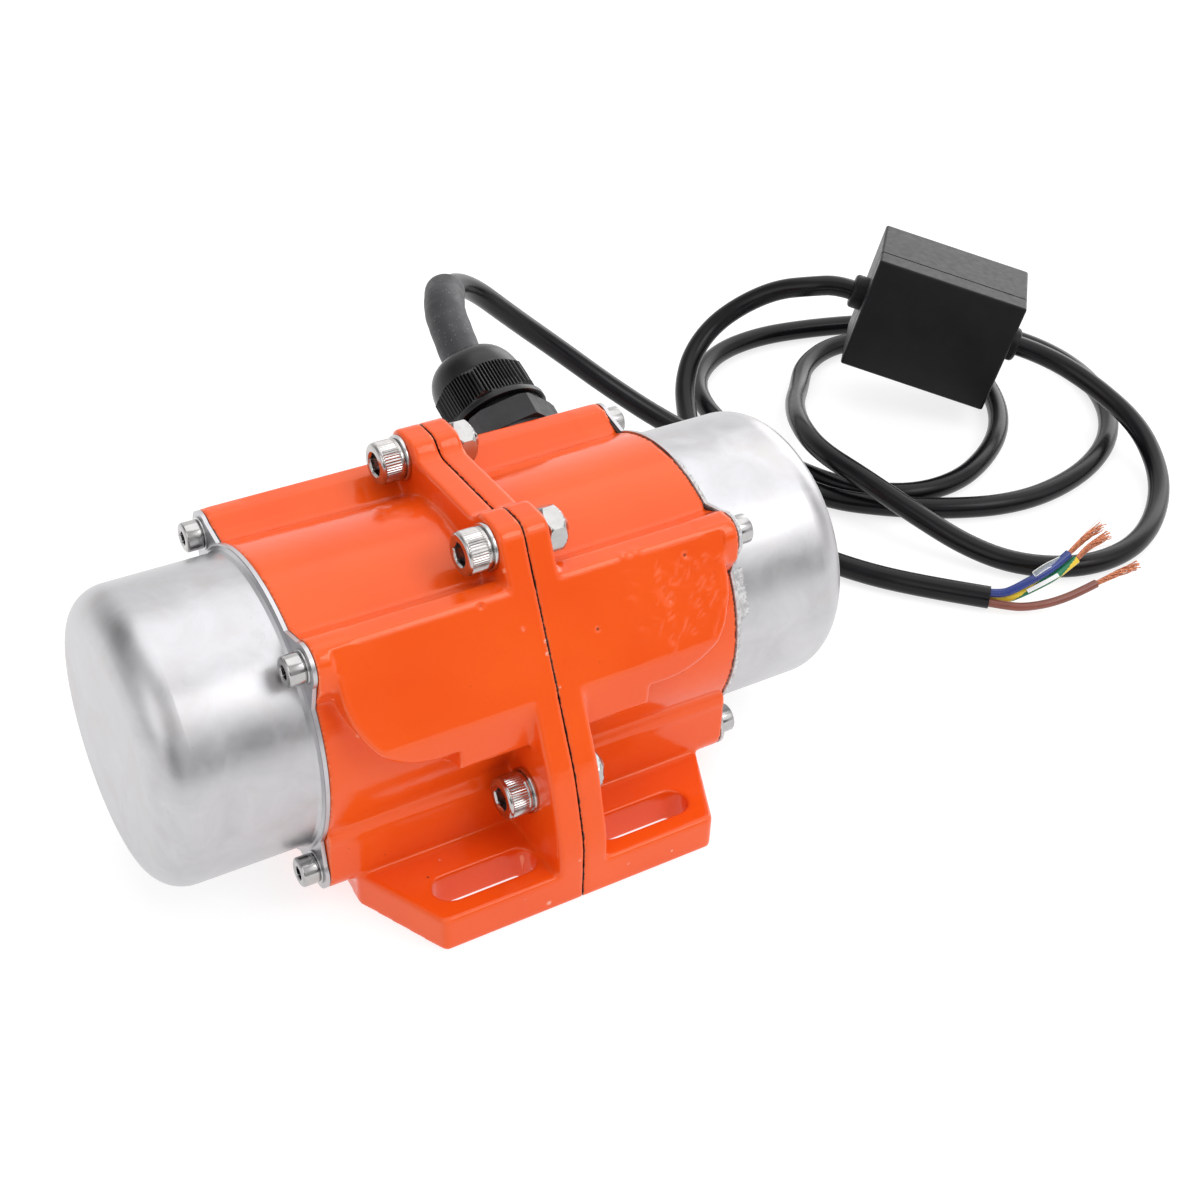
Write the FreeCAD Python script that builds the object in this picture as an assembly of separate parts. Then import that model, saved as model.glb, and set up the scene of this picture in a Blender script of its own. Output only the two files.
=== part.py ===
import FreeCAD
import Part
import math
import os

# Small two-bolt-row vibration motor, millimetres, +Z up.
# +X runs along the motor shaft, +Y points to the cable gland side.
# The origin is the centre of the four slots on the base plane, below the parting plane.

V = FreeCAD.Vector

# Housing
axis_height = 39.3
body_half_length = 51.7
barrel_radius = 35.0
side_top_y = 24.9
side_top_rise = 44.7
side_low_y = 50.3
side_low_rise = -7.0
ridge_top_rise = 33.2
pad_low_rise = 10.2
pad_end_inset = 3.5
pad_wall_rise = 3.2
pad_corner_radius = 20.0
pad_step_x = 24.0
pad_step_drop = 5.0
pad_edge_fillet = 1.0
flange_half = 6.3
flange_saddle_rise = 41.3
flange_foot_y = 55.3
flange_bend_rise = -24.0
flange_relief_y = 24.0
flange_relief_height = 4.0
seam_chamfer = 0.35
cast_fillet = 1.0

# Feet and slots
foot_thickness = 9.1
foot_front_x = 35.0
foot_back_x = 45.3
foot_shoulder_y = 32.4
foot_inner_y = 21.0
slot_centre_x = 20.5
slot_centre_y = 46.0
slot_length = 25.5
slot_width = 8.0

# Ears and cap screws (M4)
ear_offset = 28.0
ear_radius = 5.2
ear_flank_angle = 15.0
cap_screw_radius = 2.0
cap_screw_head_radius = 3.5
cap_screw_head = 4.0
cap_screw_length = 10.0
cap_screw_socket = 3.0
cap_washer_radius = 3.9
cap_washer_thickness = 0.5

# Flange bolts (M6)
top_bolt_y = 20.8
top_bolt_rise = 38.6
low_bolt_y = 39.9
low_bolt_rise = -16.0
bolt_radius = 3.0
bolt_length = 20.0
bolt_head_radius = 5.0
bolt_head = 6.0
bolt_socket = 5.0
bolt_washer_radius = 5.9
bolt_washer_thickness = 1.0
nut_across_flats = 10.0
nut_height = 5.0
hole_clearance = 0.2
thread_clearance = 0.05

# End caps and gaskets
cap_length = 36.1
cap_radius = 34.3
cap_wall = 1.0
cap_edge_radius = 8.6
lip_radius = 36.0
lip_thickness = 0.9
gasket_thickness = 0.5

# Stator
stator_bore = 30.0
winding_bore = 28.5
winding_room_length = 17.5
housing_web = 3.7
rotor_hole_radius = 17.0
slot_count = 12
slot_inner_radius = 19.5
slot_outer_radius = 26.5
slot_width_stator = 5.0
slot_mouth = 2.0
end_turn_inner = 18.6
end_turn_outer = 27.6
end_turn_length = 12.0
coil_gap = 0.2

# Rotor and shaft
air_gap = 0.35
core_shaft_radius = 7.5
shaft_radius = 6.0
shaft_reach = 28.3
end_ring_inner = 9.0
end_ring_outer = 15.0
end_ring_length = 6.0

# Bearings (12 x 32 x 10)
bearing_inset = 12.0
bearing_width = 10.0
bearing_radius = 16.0
outer_race_radius = 13.4
inner_race_radius = 8.6
ball_radius = 3.0
ball_pitch = 11.0
ball_count = 7
ball_play = 0.06
cage_half_thickness = 0.8
cage_half_width = 3.8
hub_radius = 20.0
lip_hole_radius = 13.0
lip_width = 1.0
seat_clearance = 0.02

# Unbalance weights
spacer_length = 6.0
spacer_radius = 8.5
weight_radius = 29.0
inner_weight_thickness = 11.0
outer_weight_thickness = 8.5
weight_gap = 0.6
weight_hub_radius = 12.0
weight_half_angle = 75.0
lug_half_width = 10.0
lug_rise = 19.0
lug_slit = 2.0
clamp_bolt_rise = 13.5
clamp_bolt_radius = 2.0
clamp_bolt_head_radius = 3.5
clamp_bolt_head = 4.0
ring_groove_depth = 0.6
ring_width = 1.1
ring_outer_radius = 9.0
ring_opening = 5.0
weight_bore_clearance = 0.03

# Cable gland
gland_x = 32.8
gland_drop = 13.5
gland_thread_radius = 10.0
gland_stub = 9.0
gland_ring_thickness = 1.2
gland_hex_across = 24.5
gland_hex_top = 7.9
gland_hex_turn = 18.0
gland_bore = 6.0
gland_neck_radius = 9.6
gland_neck_top = 19.0
gland_nut_start = 10.3
gland_nut_radius = 12.9
gland_nut_rib = 0.45
gland_nut_ribs = 60
gland_nut_side = 12.0
gland_nut_top = 30.8
gland_mouth_radius = 6.2
gland_seal_start = 19.2
gland_seal_top = 29.8

# Cords
cord_radius = 3.2
sleeve_radius = 5.2
sleeve_play = 0.15
sleeve_end_run = 10.0
core_radius = 1.2
strand_radius = 0.85
strand_gap = 0.25
core_gap = 0.25

# Capacitor box
box_centre = V(216.4, 89.0, 30.9)
box_yaw = -42.6
box_pitch = 12.7
box_length = 48.0
box_depth = 28.0
box_height = 38.0
box_wall = 2.0
lid_thickness = 7.0
box_edge = 0.8
grommet_radius = 5.4
grommet_length = 4.0
grommet_neck_radius = 4.4
power_exit_run = 10.0
lead_exit_run = 5.0
capacitor_length = 38.0
capacitor_height = 26.0
capacitor_depth = 17.0

# Routes of the two free cords, each point chosen by hand
power_route = [
    (32.8, 56.0, 70.0),
    (32.8, 73.6, 78.9),
    (41.0, 91.6, 79.7),
    (54.7, 103.8, 72.1),
    (70.7, 105.9, 56.9),
    (84.3, 102.8, 44.9),
    (97.0, 95.2, 33.6),
    (110.0, 83.9, 23.6),
    (123.0, 71.6, 16.4),
    (136.0, 60.8, 10.4),
    (148.0, 51.0, 3.9),
    (162.0, 39.6, 3.3),
    (177.8, 29.6, 3.3),
    (195.4, 23.0, 3.3),
    (213.8, 22.6, 3.3),
    (234.8, 28.2, 3.3),
    (253.7, 39.8, 3.3),
    (268.0, 57.4, 3.3),
    (274.7, 78.3, 3.3),
    (272.9, 98.6, 3.3),
    (263.1, 116.4, 3.3),
    (247.5, 129.4, 3.3),
    (229.1, 138.0, 3.3),
    (209.3, 144.0, 3.3),
    (190.0, 147.0, 3.3),
    (170.7, 143.5, 3.3),
    (153.8, 131.1, 3.3),
    (146.0, 112.7, 3.3),
    (145.4, 90.9, 3.3),
    (149.5, 70.0, 3.3),
    (157.8, 52.4, 3.3),
    (172.2, 41.1, 3.3),
    (190.5, 40.2, 3.3),
    (207.7, 47.4, 3.3),
    (222.9, 58.2, 3.3),
    (234.5, 72.8, 3.3),
    (242.6, 92.2, 3.3),
    (241.5, 110.0, 3.3),
    (229.5, 125.0, 3.3),
    (211.0, 130.5, 3.3),
    (192.6, 123.1, 3.3),
    (180.7, 109.5, 4.0),
    (168.2, 95.7, 8.5),
    (156.4, 77.7, 13.5),
    (151.5, 61.0, 14.4),
    (153.8, 42.1, 14.2),
    (159.1, 25.2, 10.5),
    (167.4, 9.6, 5.2),
    (176.2, -2.9, 3.3),
    (190.0, -12.2, 3.3),
    (206.5, -13.8, 3.3),
    (222.6, -8.5, 3.3),
    (239.7, 3.7, 3.3),
    (250.4, 16.5, 5.5),
    (255.6, 32.2, 10.8),
    (251.8, 50.3, 17.0),
]
lead_route = [
    (186.2, 115.1, 37.3),
    (178.6, 123.1, 34.4),
    (169.4, 128.7, 28.8),
    (158.9, 130.3, 22.7),
    (149.1, 127.0, 16.1),
    (141.9, 119.8, 10.4),
    (137.1, 110.8, 6.2),
    (131.0, 97.5, 3.3),
    (126.2, 82.0, 3.3),
    (123.3, 65.5, 3.3),
    (122.8, 48.0, 3.3),
    (126.0, 30.6, 3.3),
    (134.6, 14.2, 3.3),
    (146.2, 0.2, 3.3),
    (158.3, -11.8, 3.3),
]
brown_route = [
    (157.3, -12.8, 2.5),
    (160.5, -16.1, 2.5),
    (164.1, -18.7, 2.3),
    (168.6, -20.7, 2.7),
    (173.4, -22.2, 3.3),
    (180.0, -23.2, 4.4),
    (186.6, -23.8, 6.1),
]
blue_route = [
    (158.3, -11.8, 4.9),
    (160.6, -14.2, 5.3),
    (163.6, -15.6, 6.8),
    (167.8, -16.5, 8.7),
    (172.6, -17.0, 10.2),
    (177.4, -16.8, 11.8),
    (181.4, -16.3, 13.4),
]
green_route = [
    (159.3, -10.8, 2.5),
    (162.5, -14.1, 2.6),
    (166.7, -16.1, 4.9),
    (171.7, -17.3, 6.9),
    (176.1, -17.9, 8.5),
    (180.3, -17.9, 10.5),
    (183.2, -18.0, 12.0),
]
strand_ends = [
    ((186.6, -23.8, 6.1), (191.4, -24.2, 7.0), (196.6, -24.5, 7.9), (200.8, -25.2, 8.8)),
    ((181.4, -16.3, 13.4), (186.5, -14.8, 14.3), (192.3, -13.3, 15.2), (197.4, -12.6, 16.1)),
    ((183.2, -18.0, 12.0), (188.1, -16.4, 12.9), (192.5, -15.9, 13.8), (197.3, -15.7, 14.7)),
]

# Derived places
X_AXIS = V(1, 0, 0)
Y_AXIS = V(0, 1, 0)
Z_AXIS = V(0, 0, 1)
side_slope = (side_low_y - side_top_y) / (side_top_rise - side_low_rise)
side_angle = math.atan(side_slope)
pad_end_x = body_half_length - pad_end_inset
cap_end_x = body_half_length + cap_length
shaft_end_x = body_half_length + shaft_reach
bearing_start_x = body_half_length - bearing_inset
winding_room_x = bearing_start_x - housing_web
stator_half = winding_room_x - winding_room_length
core_half = stator_half
gasket_outer_x = body_half_length + gasket_thickness
lip_outer_x = gasket_outer_x + lip_thickness
cap_head_x = lip_outer_x + cap_washer_thickness
bearing_end_x = bearing_start_x + bearing_width
lip_start_x = body_half_length - lip_width
spacer_end_x = bearing_end_x + spacer_length
inner_weight_end = spacer_end_x + inner_weight_thickness
outer_weight_start = inner_weight_end + weight_gap
outer_weight_end = outer_weight_start + outer_weight_thickness
ring_start_x = outer_weight_end + weight_gap
core_radius_rotor = rotor_hole_radius - air_gap


def side_y(rise):
    """Distance of the sloping side face from the middle plane at a height above the axis."""
    return side_top_y + side_slope * (side_top_rise - rise)


def point(x, y, rise):
    return V(x, y, axis_height + rise)


def cylinder_x(radius, x0, x1, y=0.0, rise=0.0):
    return Part.makeCylinder(radius, x1 - x0, point(x0, y, rise), X_AXIS)


def ring_x(outer, inner, x0, x1):
    return cylinder_x(outer, x0, x1).cut(cylinder_x(inner, x0, x1))


def rounded_wire(corners, place):
    """Closed outline of (u, v, radius) corners, mapped to space by place(u, v)."""
    count = len(corners)
    starts = []
    ends = []
    middles = []
    for i in range(count):
        before = corners[i - 1]
        here = corners[i]
        after = corners[(i + 1) % count]
        centre = V(here[0], here[1], 0)
        to_before = V(before[0], before[1], 0) - centre
        to_after = V(after[0], after[1], 0) - centre
        to_before.normalize()
        to_after.normalize()
        half = to_before.getAngle(to_after) / 2
        reach = here[2] / math.tan(half)
        bisector = to_before + to_after
        starts.append(centre + to_before * reach)
        ends.append(centre + to_after * reach)
        if here[2] > 0:
            bisector.normalize()
            middles.append(centre + bisector * (here[2] / math.sin(half) - here[2]))
        else:
            middles.append(None)
    edges = []
    for i in range(count):
        if middles[i] is not None:
            arc = Part.Arc(place(starts[i].x, starts[i].y), place(middles[i].x, middles[i].y),
                           place(ends[i].x, ends[i].y))
            edges.append(arc.toShape())
        nxt = (i + 1) % count
        edges.append(Part.LineSegment(place(ends[i].x, ends[i].y),
                                      place(starts[nxt].x, starts[nxt].y)).toShape())
    return Part.Wire(edges)


def prism_x(corners, x0, x1):
    """Outline in (y, rise) with corner radii, extruded along the shaft."""
    wire = rounded_wire(corners, lambda y, rise: point(x0, y, rise))
    return Part.Face(wire).extrude(V(x1 - x0, 0, 0))


def prism_z(corners, z0, z1):
    """Outline in (x, y) with corner radii, extruded upwards."""
    wire = rounded_wire(corners, lambda x, y: V(x, y, z0))
    return Part.Face(wire).extrude(V(0, 0, z1 - z0))


def revolve_x(profile, y=0.0, rise=0.0):
    """Solid of revolution about the shaft line of (x, radius) corners."""
    points = [point(x, y, rise + r) for x, r in profile]
    face = Part.Face(Part.makePolygon(points + points[:1]))
    return face.revolve(point(0, y, rise), X_AXIS, 360)


def fuse_all(shapes):
    whole = shapes[0].multiFuse(shapes[1:])
    return whole.removeSplitter()


def mirror_x(shape):
    return shape.mirror(V(0, 0, 0), X_AXIS)


def mirror_y(shape):
    return shape.mirror(V(0, 0, 0), Y_AXIS)


def four_corners(y, rise):
    return [(y, rise), (-y, rise), (y, -rise), (-y, -rise)]


def bolt_places():
    return [(top_bolt_y, top_bolt_rise), (-top_bolt_y, top_bolt_rise),
            (low_bolt_y, low_bolt_rise), (-low_bolt_y, low_bolt_rise)]


def hexagon(across, x, y, rise, turn=0.0):
    corners = []
    for k in range(6):
        angle = math.radians(60 * k + turn)
        corners.append(point(x, y + across / math.sqrt(3) * math.cos(angle),
                             rise + across / math.sqrt(3) * math.sin(angle)))
    return Part.Face(Part.makePolygon(corners + corners[:1]))


def socket_screw(x_under, y, rise, head_radius, head, shank_radius, length, socket, way):
    """Socket head screw whose shank runs from x_under along way (+1 or -1) of the shaft line."""
    start = point(x_under, y, rise)
    shank = Part.makeCylinder(shank_radius, length, start, V(way, 0, 0))
    tip = shank_radius * 0.2
    shank = shank.makeChamfer(tip, [e for e in shank.Edges if
                                    abs(e.BoundBox.XMin - x_under - way * length) < 1e-6 and
                                    abs(e.BoundBox.XMax - x_under - way * length) < 1e-6])
    cap = Part.makeCylinder(head_radius, head, start, V(-way, 0, 0))
    top_x = x_under - way * head
    rim = [e for e in cap.Edges if abs(e.BoundBox.XMin - top_x) < 1e-6 and abs(e.BoundBox.XMax - top_x) < 1e-6]
    cap = cap.makeFillet(head_radius * 0.12, rim)
    pocket = hexagon(socket, top_x, y, rise, 30).extrude(V(way * head * 0.55, 0, 0))
    return cap.fuse(shank).removeSplitter().cut(pocket)


# Housing halves

def ear_outline(radius, x0, x1):
    """Disc with four screw ears, used by the end faces, the gaskets and the cap lips."""
    pieces = [cylinder_x(radius, x0, x1)]
    for y, rise in four_corners(ear_offset, ear_offset):
        pieces.append(cylinder_x(ear_radius, x0, x1, y, rise))
        middle = math.atan2(rise, y)
        flank = math.radians(ear_flank_angle)
        inner = [(radius - 0.6) * math.cos(middle + flank), (radius - 0.6) * math.sin(middle + flank)]
        other = [(radius - 0.6) * math.cos(middle - flank), (radius - 0.6) * math.sin(middle - flank)]
        reach = math.radians(80)
        tip = [y + ear_radius * math.cos(middle + reach), rise + ear_radius * math.sin(middle + reach)]
        tip_other = [y + ear_radius * math.cos(middle - reach), rise + ear_radius * math.sin(middle - reach)]
        web = prism_x([(inner[0], inner[1], 0), (tip[0], tip[1], 0),
                       (tip_other[0], tip_other[1], 0), (other[0], other[1], 0)], x0, x1)
        pieces.append(web)
    return fuse_all(pieces)


def side_pad():
    """Sloping name-plate pad and its ridge on the side towards -Y, right half."""
    top_y = side_y(ridge_top_rise)
    low_y = side_y(pad_low_rise)
    ridge = prism_x([(-barrel_radius * 0.35, barrel_radius * 0.55, 0),
                     (-barrel_radius * 0.57, barrel_radius * 0.815, 0),
                     (-top_y, ridge_top_rise, 1.6),
                     (-low_y, pad_low_rise, 2.0),
                     (-low_y, pad_wall_rise, 0),
                     (-barrel_radius * 0.6, pad_wall_rise, 0)], 0, pad_end_x)
    arc_x = pad_end_x - pad_corner_radius
    arc_rise = pad_wall_rise + pad_corner_radius
    corner = Part.makeBox(pad_corner_radius + 1, flange_foot_y, pad_corner_radius + 1,
                          point(arc_x, -flange_foot_y, pad_wall_rise - 1))
    round_end = Part.makeCylinder(pad_corner_radius, flange_foot_y, point(arc_x, -flange_foot_y, arc_rise),
                                  Y_AXIS)
    ridge = ridge.cut(corner.cut(round_end))
    end_edges = []
    for edge in ridge.Edges:
        box = edge.BoundBox
        middle = edge.valueAt((edge.FirstParameter + edge.LastParameter) / 2)
        on_end = box.XMin > pad_end_x - 1e-6 and middle.y < -barrel_radius * 0.575 and middle.z > axis_height + arc_rise
        reach = math.hypot(middle.x - arc_x, middle.z - axis_height - arc_rise)
        on_arc = abs(reach - pad_corner_radius) < 1e-6 and box.YMax < -barrel_radius and middle.x > arc_x
        on_floor = box.ZMax < axis_height + pad_wall_rise + 1e-6 and box.YMax < -low_y + 1e-6
        if on_end or on_arc or (on_floor and box.XLength > 1.0):
            end_edges.append(edge)
    ridge = ridge.makeFillet(pad_edge_fillet, end_edges)
    step = prism_x([(-barrel_radius * 0.8, pad_low_rise, 0),
                    (-low_y, pad_low_rise, 0),
                    (-low_y, pad_wall_rise - pad_step_drop, 1.5),
                    (-barrel_radius * 0.8, pad_wall_rise - pad_step_drop - 2.5, 0)], 0, pad_step_x)
    return ridge.fuse(step)


def lower_ridge():
    """Lower ridge that ends at the bottom ear and carries the foot, side towards -Y."""
    edge = ear_offset + ear_radius
    return prism_x([(-12.0, -20.0, 0), (-20.0, -29.0, 0), (-26.5, -edge, 2),
                    (-edge, -edge, ear_radius - 0.2), (-edge, -17.5, 3), (-31.0, -13.0, 0),
                    (-18.0, -8.0, 0)], 0, body_half_length)


def upper_ear():
    """End boss of the upper ridge, side towards -Y."""
    edge = ear_offset + ear_radius
    return prism_x([(-10.0, 20.0, 0), (-19.3, 29.2, 0), (-26.0, edge, 2),
                    (-edge, edge, ear_radius - 0.2), (-edge, 23.5, 2), (-29.5, 18.3, 0),
                    (-18.0, 10.0, 0)], pad_end_x - 5.0, body_half_length)


def flange():
    half = [(0.0, flange_saddle_rise, 0), (13.0, flange_saddle_rise, 4.0),
            (16.3, side_top_rise, 3.0), (side_top_y, side_top_rise, 4.5),
            (side_low_y, side_low_rise, 60.0), (flange_foot_y, flange_bend_rise, 30.0),
            (flange_foot_y, -axis_height, 0.8), (flange_relief_y, -axis_height, 1.0),
            (flange_relief_y - 3.0, -axis_height + flange_relief_height, 2.0),
            (0.0, -axis_height + flange_relief_height, 0)]
    right = [c for c in half if c[0] > 0]
    left = [(-y, rise, r) for y, rise, r in reversed(right)]
    plate = prism_x(right + left, 0, flange_half)
    outer = [e for e in plate.Edges if e.BoundBox.XMin > flange_half - 1e-6]
    plate = plate.makeFillet(cast_fillet, outer)
    seam = [e for e in plate.Edges if e.BoundBox.XMax < 1e-6]
    return plate.makeChamfer(seam_chamfer, seam)


def foot():
    """Foot plate on the side towards -Y."""
    plate = prism_z([(0.0, -flange_foot_y, 0), (foot_front_x, -flange_foot_y, 2.0),
                     (foot_back_x, -foot_shoulder_y, 2.0), (foot_back_x - 1.0, -foot_inner_y, 1.0),
                     (0.0, -foot_inner_y, 0)], 0, foot_thickness)
    top = [e for e in plate.Edges if e.BoundBox.ZMin > foot_thickness - 1e-6
           and e.BoundBox.YMax < -foot_inner_y - 1.0 and e.BoundBox.XMax > 1.0]
    return plate.makeFillet(cast_fillet, top)


def base_slot(side):
    end = slot_length / 2 - slot_width / 2
    cutter = Part.makeBox(2 * end, slot_width, foot_thickness + 4,
                          V(slot_centre_x - end, side * slot_centre_y - slot_width / 2, -2))
    for sign in (-1, 1):
        cutter = cutter.fuse(Part.makeCylinder(slot_width / 2, foot_thickness + 4,
                                               V(slot_centre_x + sign * end, side * slot_centre_y, -2)))
    return cutter.removeSplitter()


def housing_half():
    """Right half of the housing without the gland hole."""
    outside = [cylinder_x(barrel_radius, 0, body_half_length), flange()]
    for piece in (side_pad(), lower_ridge(), upper_ear(), foot()):
        outside.append(piece)
        outside.append(mirror_y(piece))
    solid = fuse_all(outside)
    for side in (-1, 1):
        solid = solid.cut(base_slot(side))
    room = cylinder_x(stator_bore, -1, stator_half + 0.05)
    room = room.fuse(cylinder_x(winding_bore, stator_half, winding_room_x))
    hub_room = cylinder_x(winding_bore, winding_room_x, body_half_length - 4.0)
    hub_room = hub_room.cut(cylinder_x(hub_radius, winding_room_x, body_half_length))
    room = room.fuse(hub_room)
    room = room.fuse(cylinder_x(bearing_radius + seat_clearance, winding_room_x - 1, lip_start_x))
    room = room.fuse(cylinder_x(lip_hole_radius, lip_start_x - 1, body_half_length + 1))
    solid = solid.cut(room)
    for y, rise in bolt_places():
        solid = solid.cut(cylinder_x(bolt_radius + hole_clearance, -1, flange_half + 1, y, rise))
        solid = solid.cut(cylinder_x(bolt_washer_radius + 0.3, flange_half, flange_half + bolt_head + 3.0,
                                     y, rise))
    screw_depth = cap_screw_length + 1.0
    for y, rise in four_corners(ear_offset, ear_offset):
        solid = solid.cut(cylinder_x(cap_screw_radius + thread_clearance, cap_head_x - screw_depth,
                                     body_half_length + 1, y, rise))
    return solid


def gland_frame():
    """Foot point on the back pad and outward direction of the cable gland."""
    rise = ridge_top_rise - gland_drop * math.cos(side_angle)
    base = point(gland_x, side_y(rise), rise)
    axis = V(0, math.cos(side_angle), math.sin(side_angle))
    return base, axis


def gland_cylinder(radius, start, end):
    base, axis = gland_frame()
    return Part.makeCylinder(radius, end - start, base + axis * start, axis)


def gland_revolve(profile):
    """Solid of revolution about the gland line of (distance, radius) corners."""
    base, axis = gland_frame()
    up = V(0, -axis.z, axis.y)
    points = [base + axis * s + up * r for s, r in profile]
    return Part.Face(Part.makePolygon(points + points[:1])).revolve(base, axis, 360)


def housing():
    half = housing_half()
    left = mirror_x(half)
    right = half.cut(gland_cylinder(gland_thread_radius + thread_clearance, -16.0, 3.0))
    return left, right


# Fasteners of the flange

def flange_bolts():
    screws = []
    seat = -flange_half - bolt_washer_thickness
    for y, rise in bolt_places():
        screws.append(socket_screw(seat, y, rise, bolt_head_radius, bolt_head, bolt_radius,
                                   bolt_length, bolt_socket, 1))
    return Part.makeCompound(screws)


def flange_washers():
    rings = []
    for y, rise in bolt_places():
        outer = cylinder_x(bolt_washer_radius, -flange_half - bolt_washer_thickness, -flange_half, y, rise)
        inner = cylinder_x(bolt_radius + hole_clearance, -flange_half - bolt_washer_thickness,
                           -flange_half, y, rise)
        rings.append(outer.cut(inner))
    return Part.makeCompound(rings)


def flange_nuts():
    nuts = []
    for y, rise in bolt_places():
        blank = hexagon(nut_across_flats, flange_half, y, rise).extrude(V(nut_height, 0, 0))
        crown = nut_across_flats * 0.54
        cone = revolve_x([(flange_half, 0), (flange_half, crown + 1.5), (flange_half + nut_height - 1.2, crown + 0.6),
                          (flange_half + nut_height, crown - 0.7), (flange_half + nut_height, 0)], y, rise)
        nut = blank.common(cone)
        nuts.append(nut.cut(cylinder_x(bolt_radius + thread_clearance, flange_half, flange_half + nut_height,
                                       y, rise)))
    return Part.makeCompound(nuts)


# End caps

def end_cap():
    inner = cap_radius - cap_wall
    start = gasket_outer_x
    edge_x = cap_end_x - cap_edge_radius
    diagonal = math.sqrt(0.5)

    def shell_profile(radius, corner, end_x):
        a = point(start, 0, 0)
        b = point(start, 0, radius)
        c = point(edge_x, 0, radius)
        d = point(edge_x + corner * diagonal, 0, radius - corner + corner * diagonal)
        e = point(end_x, 0, radius - corner)
        f = point(end_x, 0, 0)
        return Part.Wire([Part.LineSegment(a, b).toShape(), Part.LineSegment(b, c).toShape(),
                          Part.Arc(c, d, e).toShape(), Part.LineSegment(e, f).toShape(),
                          Part.LineSegment(f, a).toShape()])

    outer = Part.Face(shell_profile(cap_radius, cap_edge_radius, cap_end_x)).revolve(point(0, 0, 0), X_AXIS, 360)
    room = Part.Face(shell_profile(inner, cap_edge_radius - cap_wall, cap_end_x - cap_wall))
    room = room.revolve(point(0, 0, 0), X_AXIS, 360)
    lip = ear_outline(lip_radius, start, lip_outer_x)
    root = revolve_x([(lip_outer_x, cap_radius - 0.3), (lip_outer_x, cap_radius + 1.2), (lip_outer_x + 0.4, cap_radius + 0.35),
                      (lip_outer_x + 1.2, cap_radius - 0.01), (lip_outer_x + 1.2, cap_radius - 0.3)])
    cap = fuse_all([outer, lip, root]).cut(room)
    for y, rise in four_corners(ear_offset, ear_offset):
        cap = cap.cut(cylinder_x(cap_screw_radius + hole_clearance, start - 1, lip_outer_x + 1, y, rise))
    return cap


def cap_gasket():
    seal = ear_outline(lip_radius, body_half_length, gasket_outer_x)
    seal = seal.cut(cylinder_x(cap_radius - cap_wall, body_half_length - 1, gasket_outer_x + 1))
    for y, rise in four_corners(ear_offset, ear_offset):
        seal = seal.cut(cylinder_x(cap_screw_radius + hole_clearance, body_half_length - 1,
                                   gasket_outer_x + 1, y, rise))
    return seal


def cap_screws():
    return Part.makeCompound([
        socket_screw(cap_head_x, y, rise, cap_screw_head_radius, cap_screw_head, cap_screw_radius,
                     cap_screw_length, cap_screw_socket, -1)
        for y, rise in four_corners(ear_offset, ear_offset)])


def cap_washers():
    rings = []
    for y, rise in four_corners(ear_offset, ear_offset):
        outer = cylinder_x(cap_washer_radius, lip_outer_x, cap_head_x, y, rise)
        rings.append(outer.cut(cylinder_x(cap_screw_radius + hole_clearance, lip_outer_x, cap_head_x, y, rise)))
    return Part.makeCompound(rings)


# Stator

def turned_x(shape, angle):
    copy = shape.copy()
    copy.rotate(point(0, 0, 0), X_AXIS, angle)
    return copy


def stator_slot(gap):
    """One winding slot about the upward direction, shrunk on all sides by gap."""
    width = slot_width_stator / 2 - gap
    reach = slot_outer_radius - gap
    root = slot_inner_radius + gap
    wider = width * slot_outer_radius / slot_inner_radius
    return [(-width, root, 0.5), (width, root, 0.5), (wider, reach, 1.2), (-wider, reach, 1.2)]


def stator_core():
    core = ring_x(stator_bore - 0.05, rotor_hole_radius, -stator_half, stator_half)
    slot = prism_x(stator_slot(0.0), -stator_half - 1, stator_half + 1)
    mouth = Part.makeBox(2 * stator_half + 2, slot_mouth, slot_inner_radius + 1 - rotor_hole_radius + 2,
                         point(-stator_half - 1, -slot_mouth / 2, rotor_hole_radius - 2))
    tool = slot.fuse(mouth)
    return core.cut([turned_x(tool, 360 / slot_count * k) for k in range(slot_count)])


def stator_winding():
    start = stator_half + 0.3
    end = start + end_turn_length
    pieces = []
    for sign in (-1, 1):
        turn = revolve_x([(sign * start, end_turn_inner), (sign * end, end_turn_inner + 1.5),
                          (sign * end, end_turn_outer - 2.0), (sign * (end - 2.5), end_turn_outer),
                          (sign * start, end_turn_outer - 0.8)])
        pieces.append(turn)
    bar = prism_x(stator_slot(coil_gap), -start - 1, start + 1)
    pieces += [turned_x(bar, 360 / slot_count * k) for k in range(slot_count)]
    return fuse_all(pieces)


# Rotor

def shaft():
    half = [(0.0, core_shaft_radius), (bearing_start_x, core_shaft_radius), (bearing_start_x, shaft_radius),
            (shaft_end_x - 1.0, shaft_radius), (shaft_end_x, shaft_radius - 1.0)]
    profile = [(-x, r) for x, r in reversed(half)] + half[1:]
    solid = revolve_x([(-shaft_end_x, 0)] + profile + [(shaft_end_x, 0)])
    for sign in (-1, 1):
        start = ring_start_x if sign > 0 else -ring_start_x - ring_width
        groove = ring_x(shaft_radius + 1, shaft_radius - ring_groove_depth, start, start + ring_width)
        solid = solid.cut(groove)
    return solid


def rotor_core():
    return ring_x(core_radius_rotor, core_shaft_radius + seat_clearance / 2, -core_half, core_half)


def rotor_end_rings():
    rings = []
    for sign in (-1, 1):
        ends = sorted([sign * core_half, sign * (core_half + end_ring_length)])
        rings.append(ring_x(end_ring_outer, end_ring_inner, ends[0], ends[1]))
    return Part.makeCompound(rings)


def race_groove(x_middle):
    torus = Part.makeTorus(ball_pitch, ball_radius + ball_play, point(x_middle, 0, 0), X_AXIS)
    return torus


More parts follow.
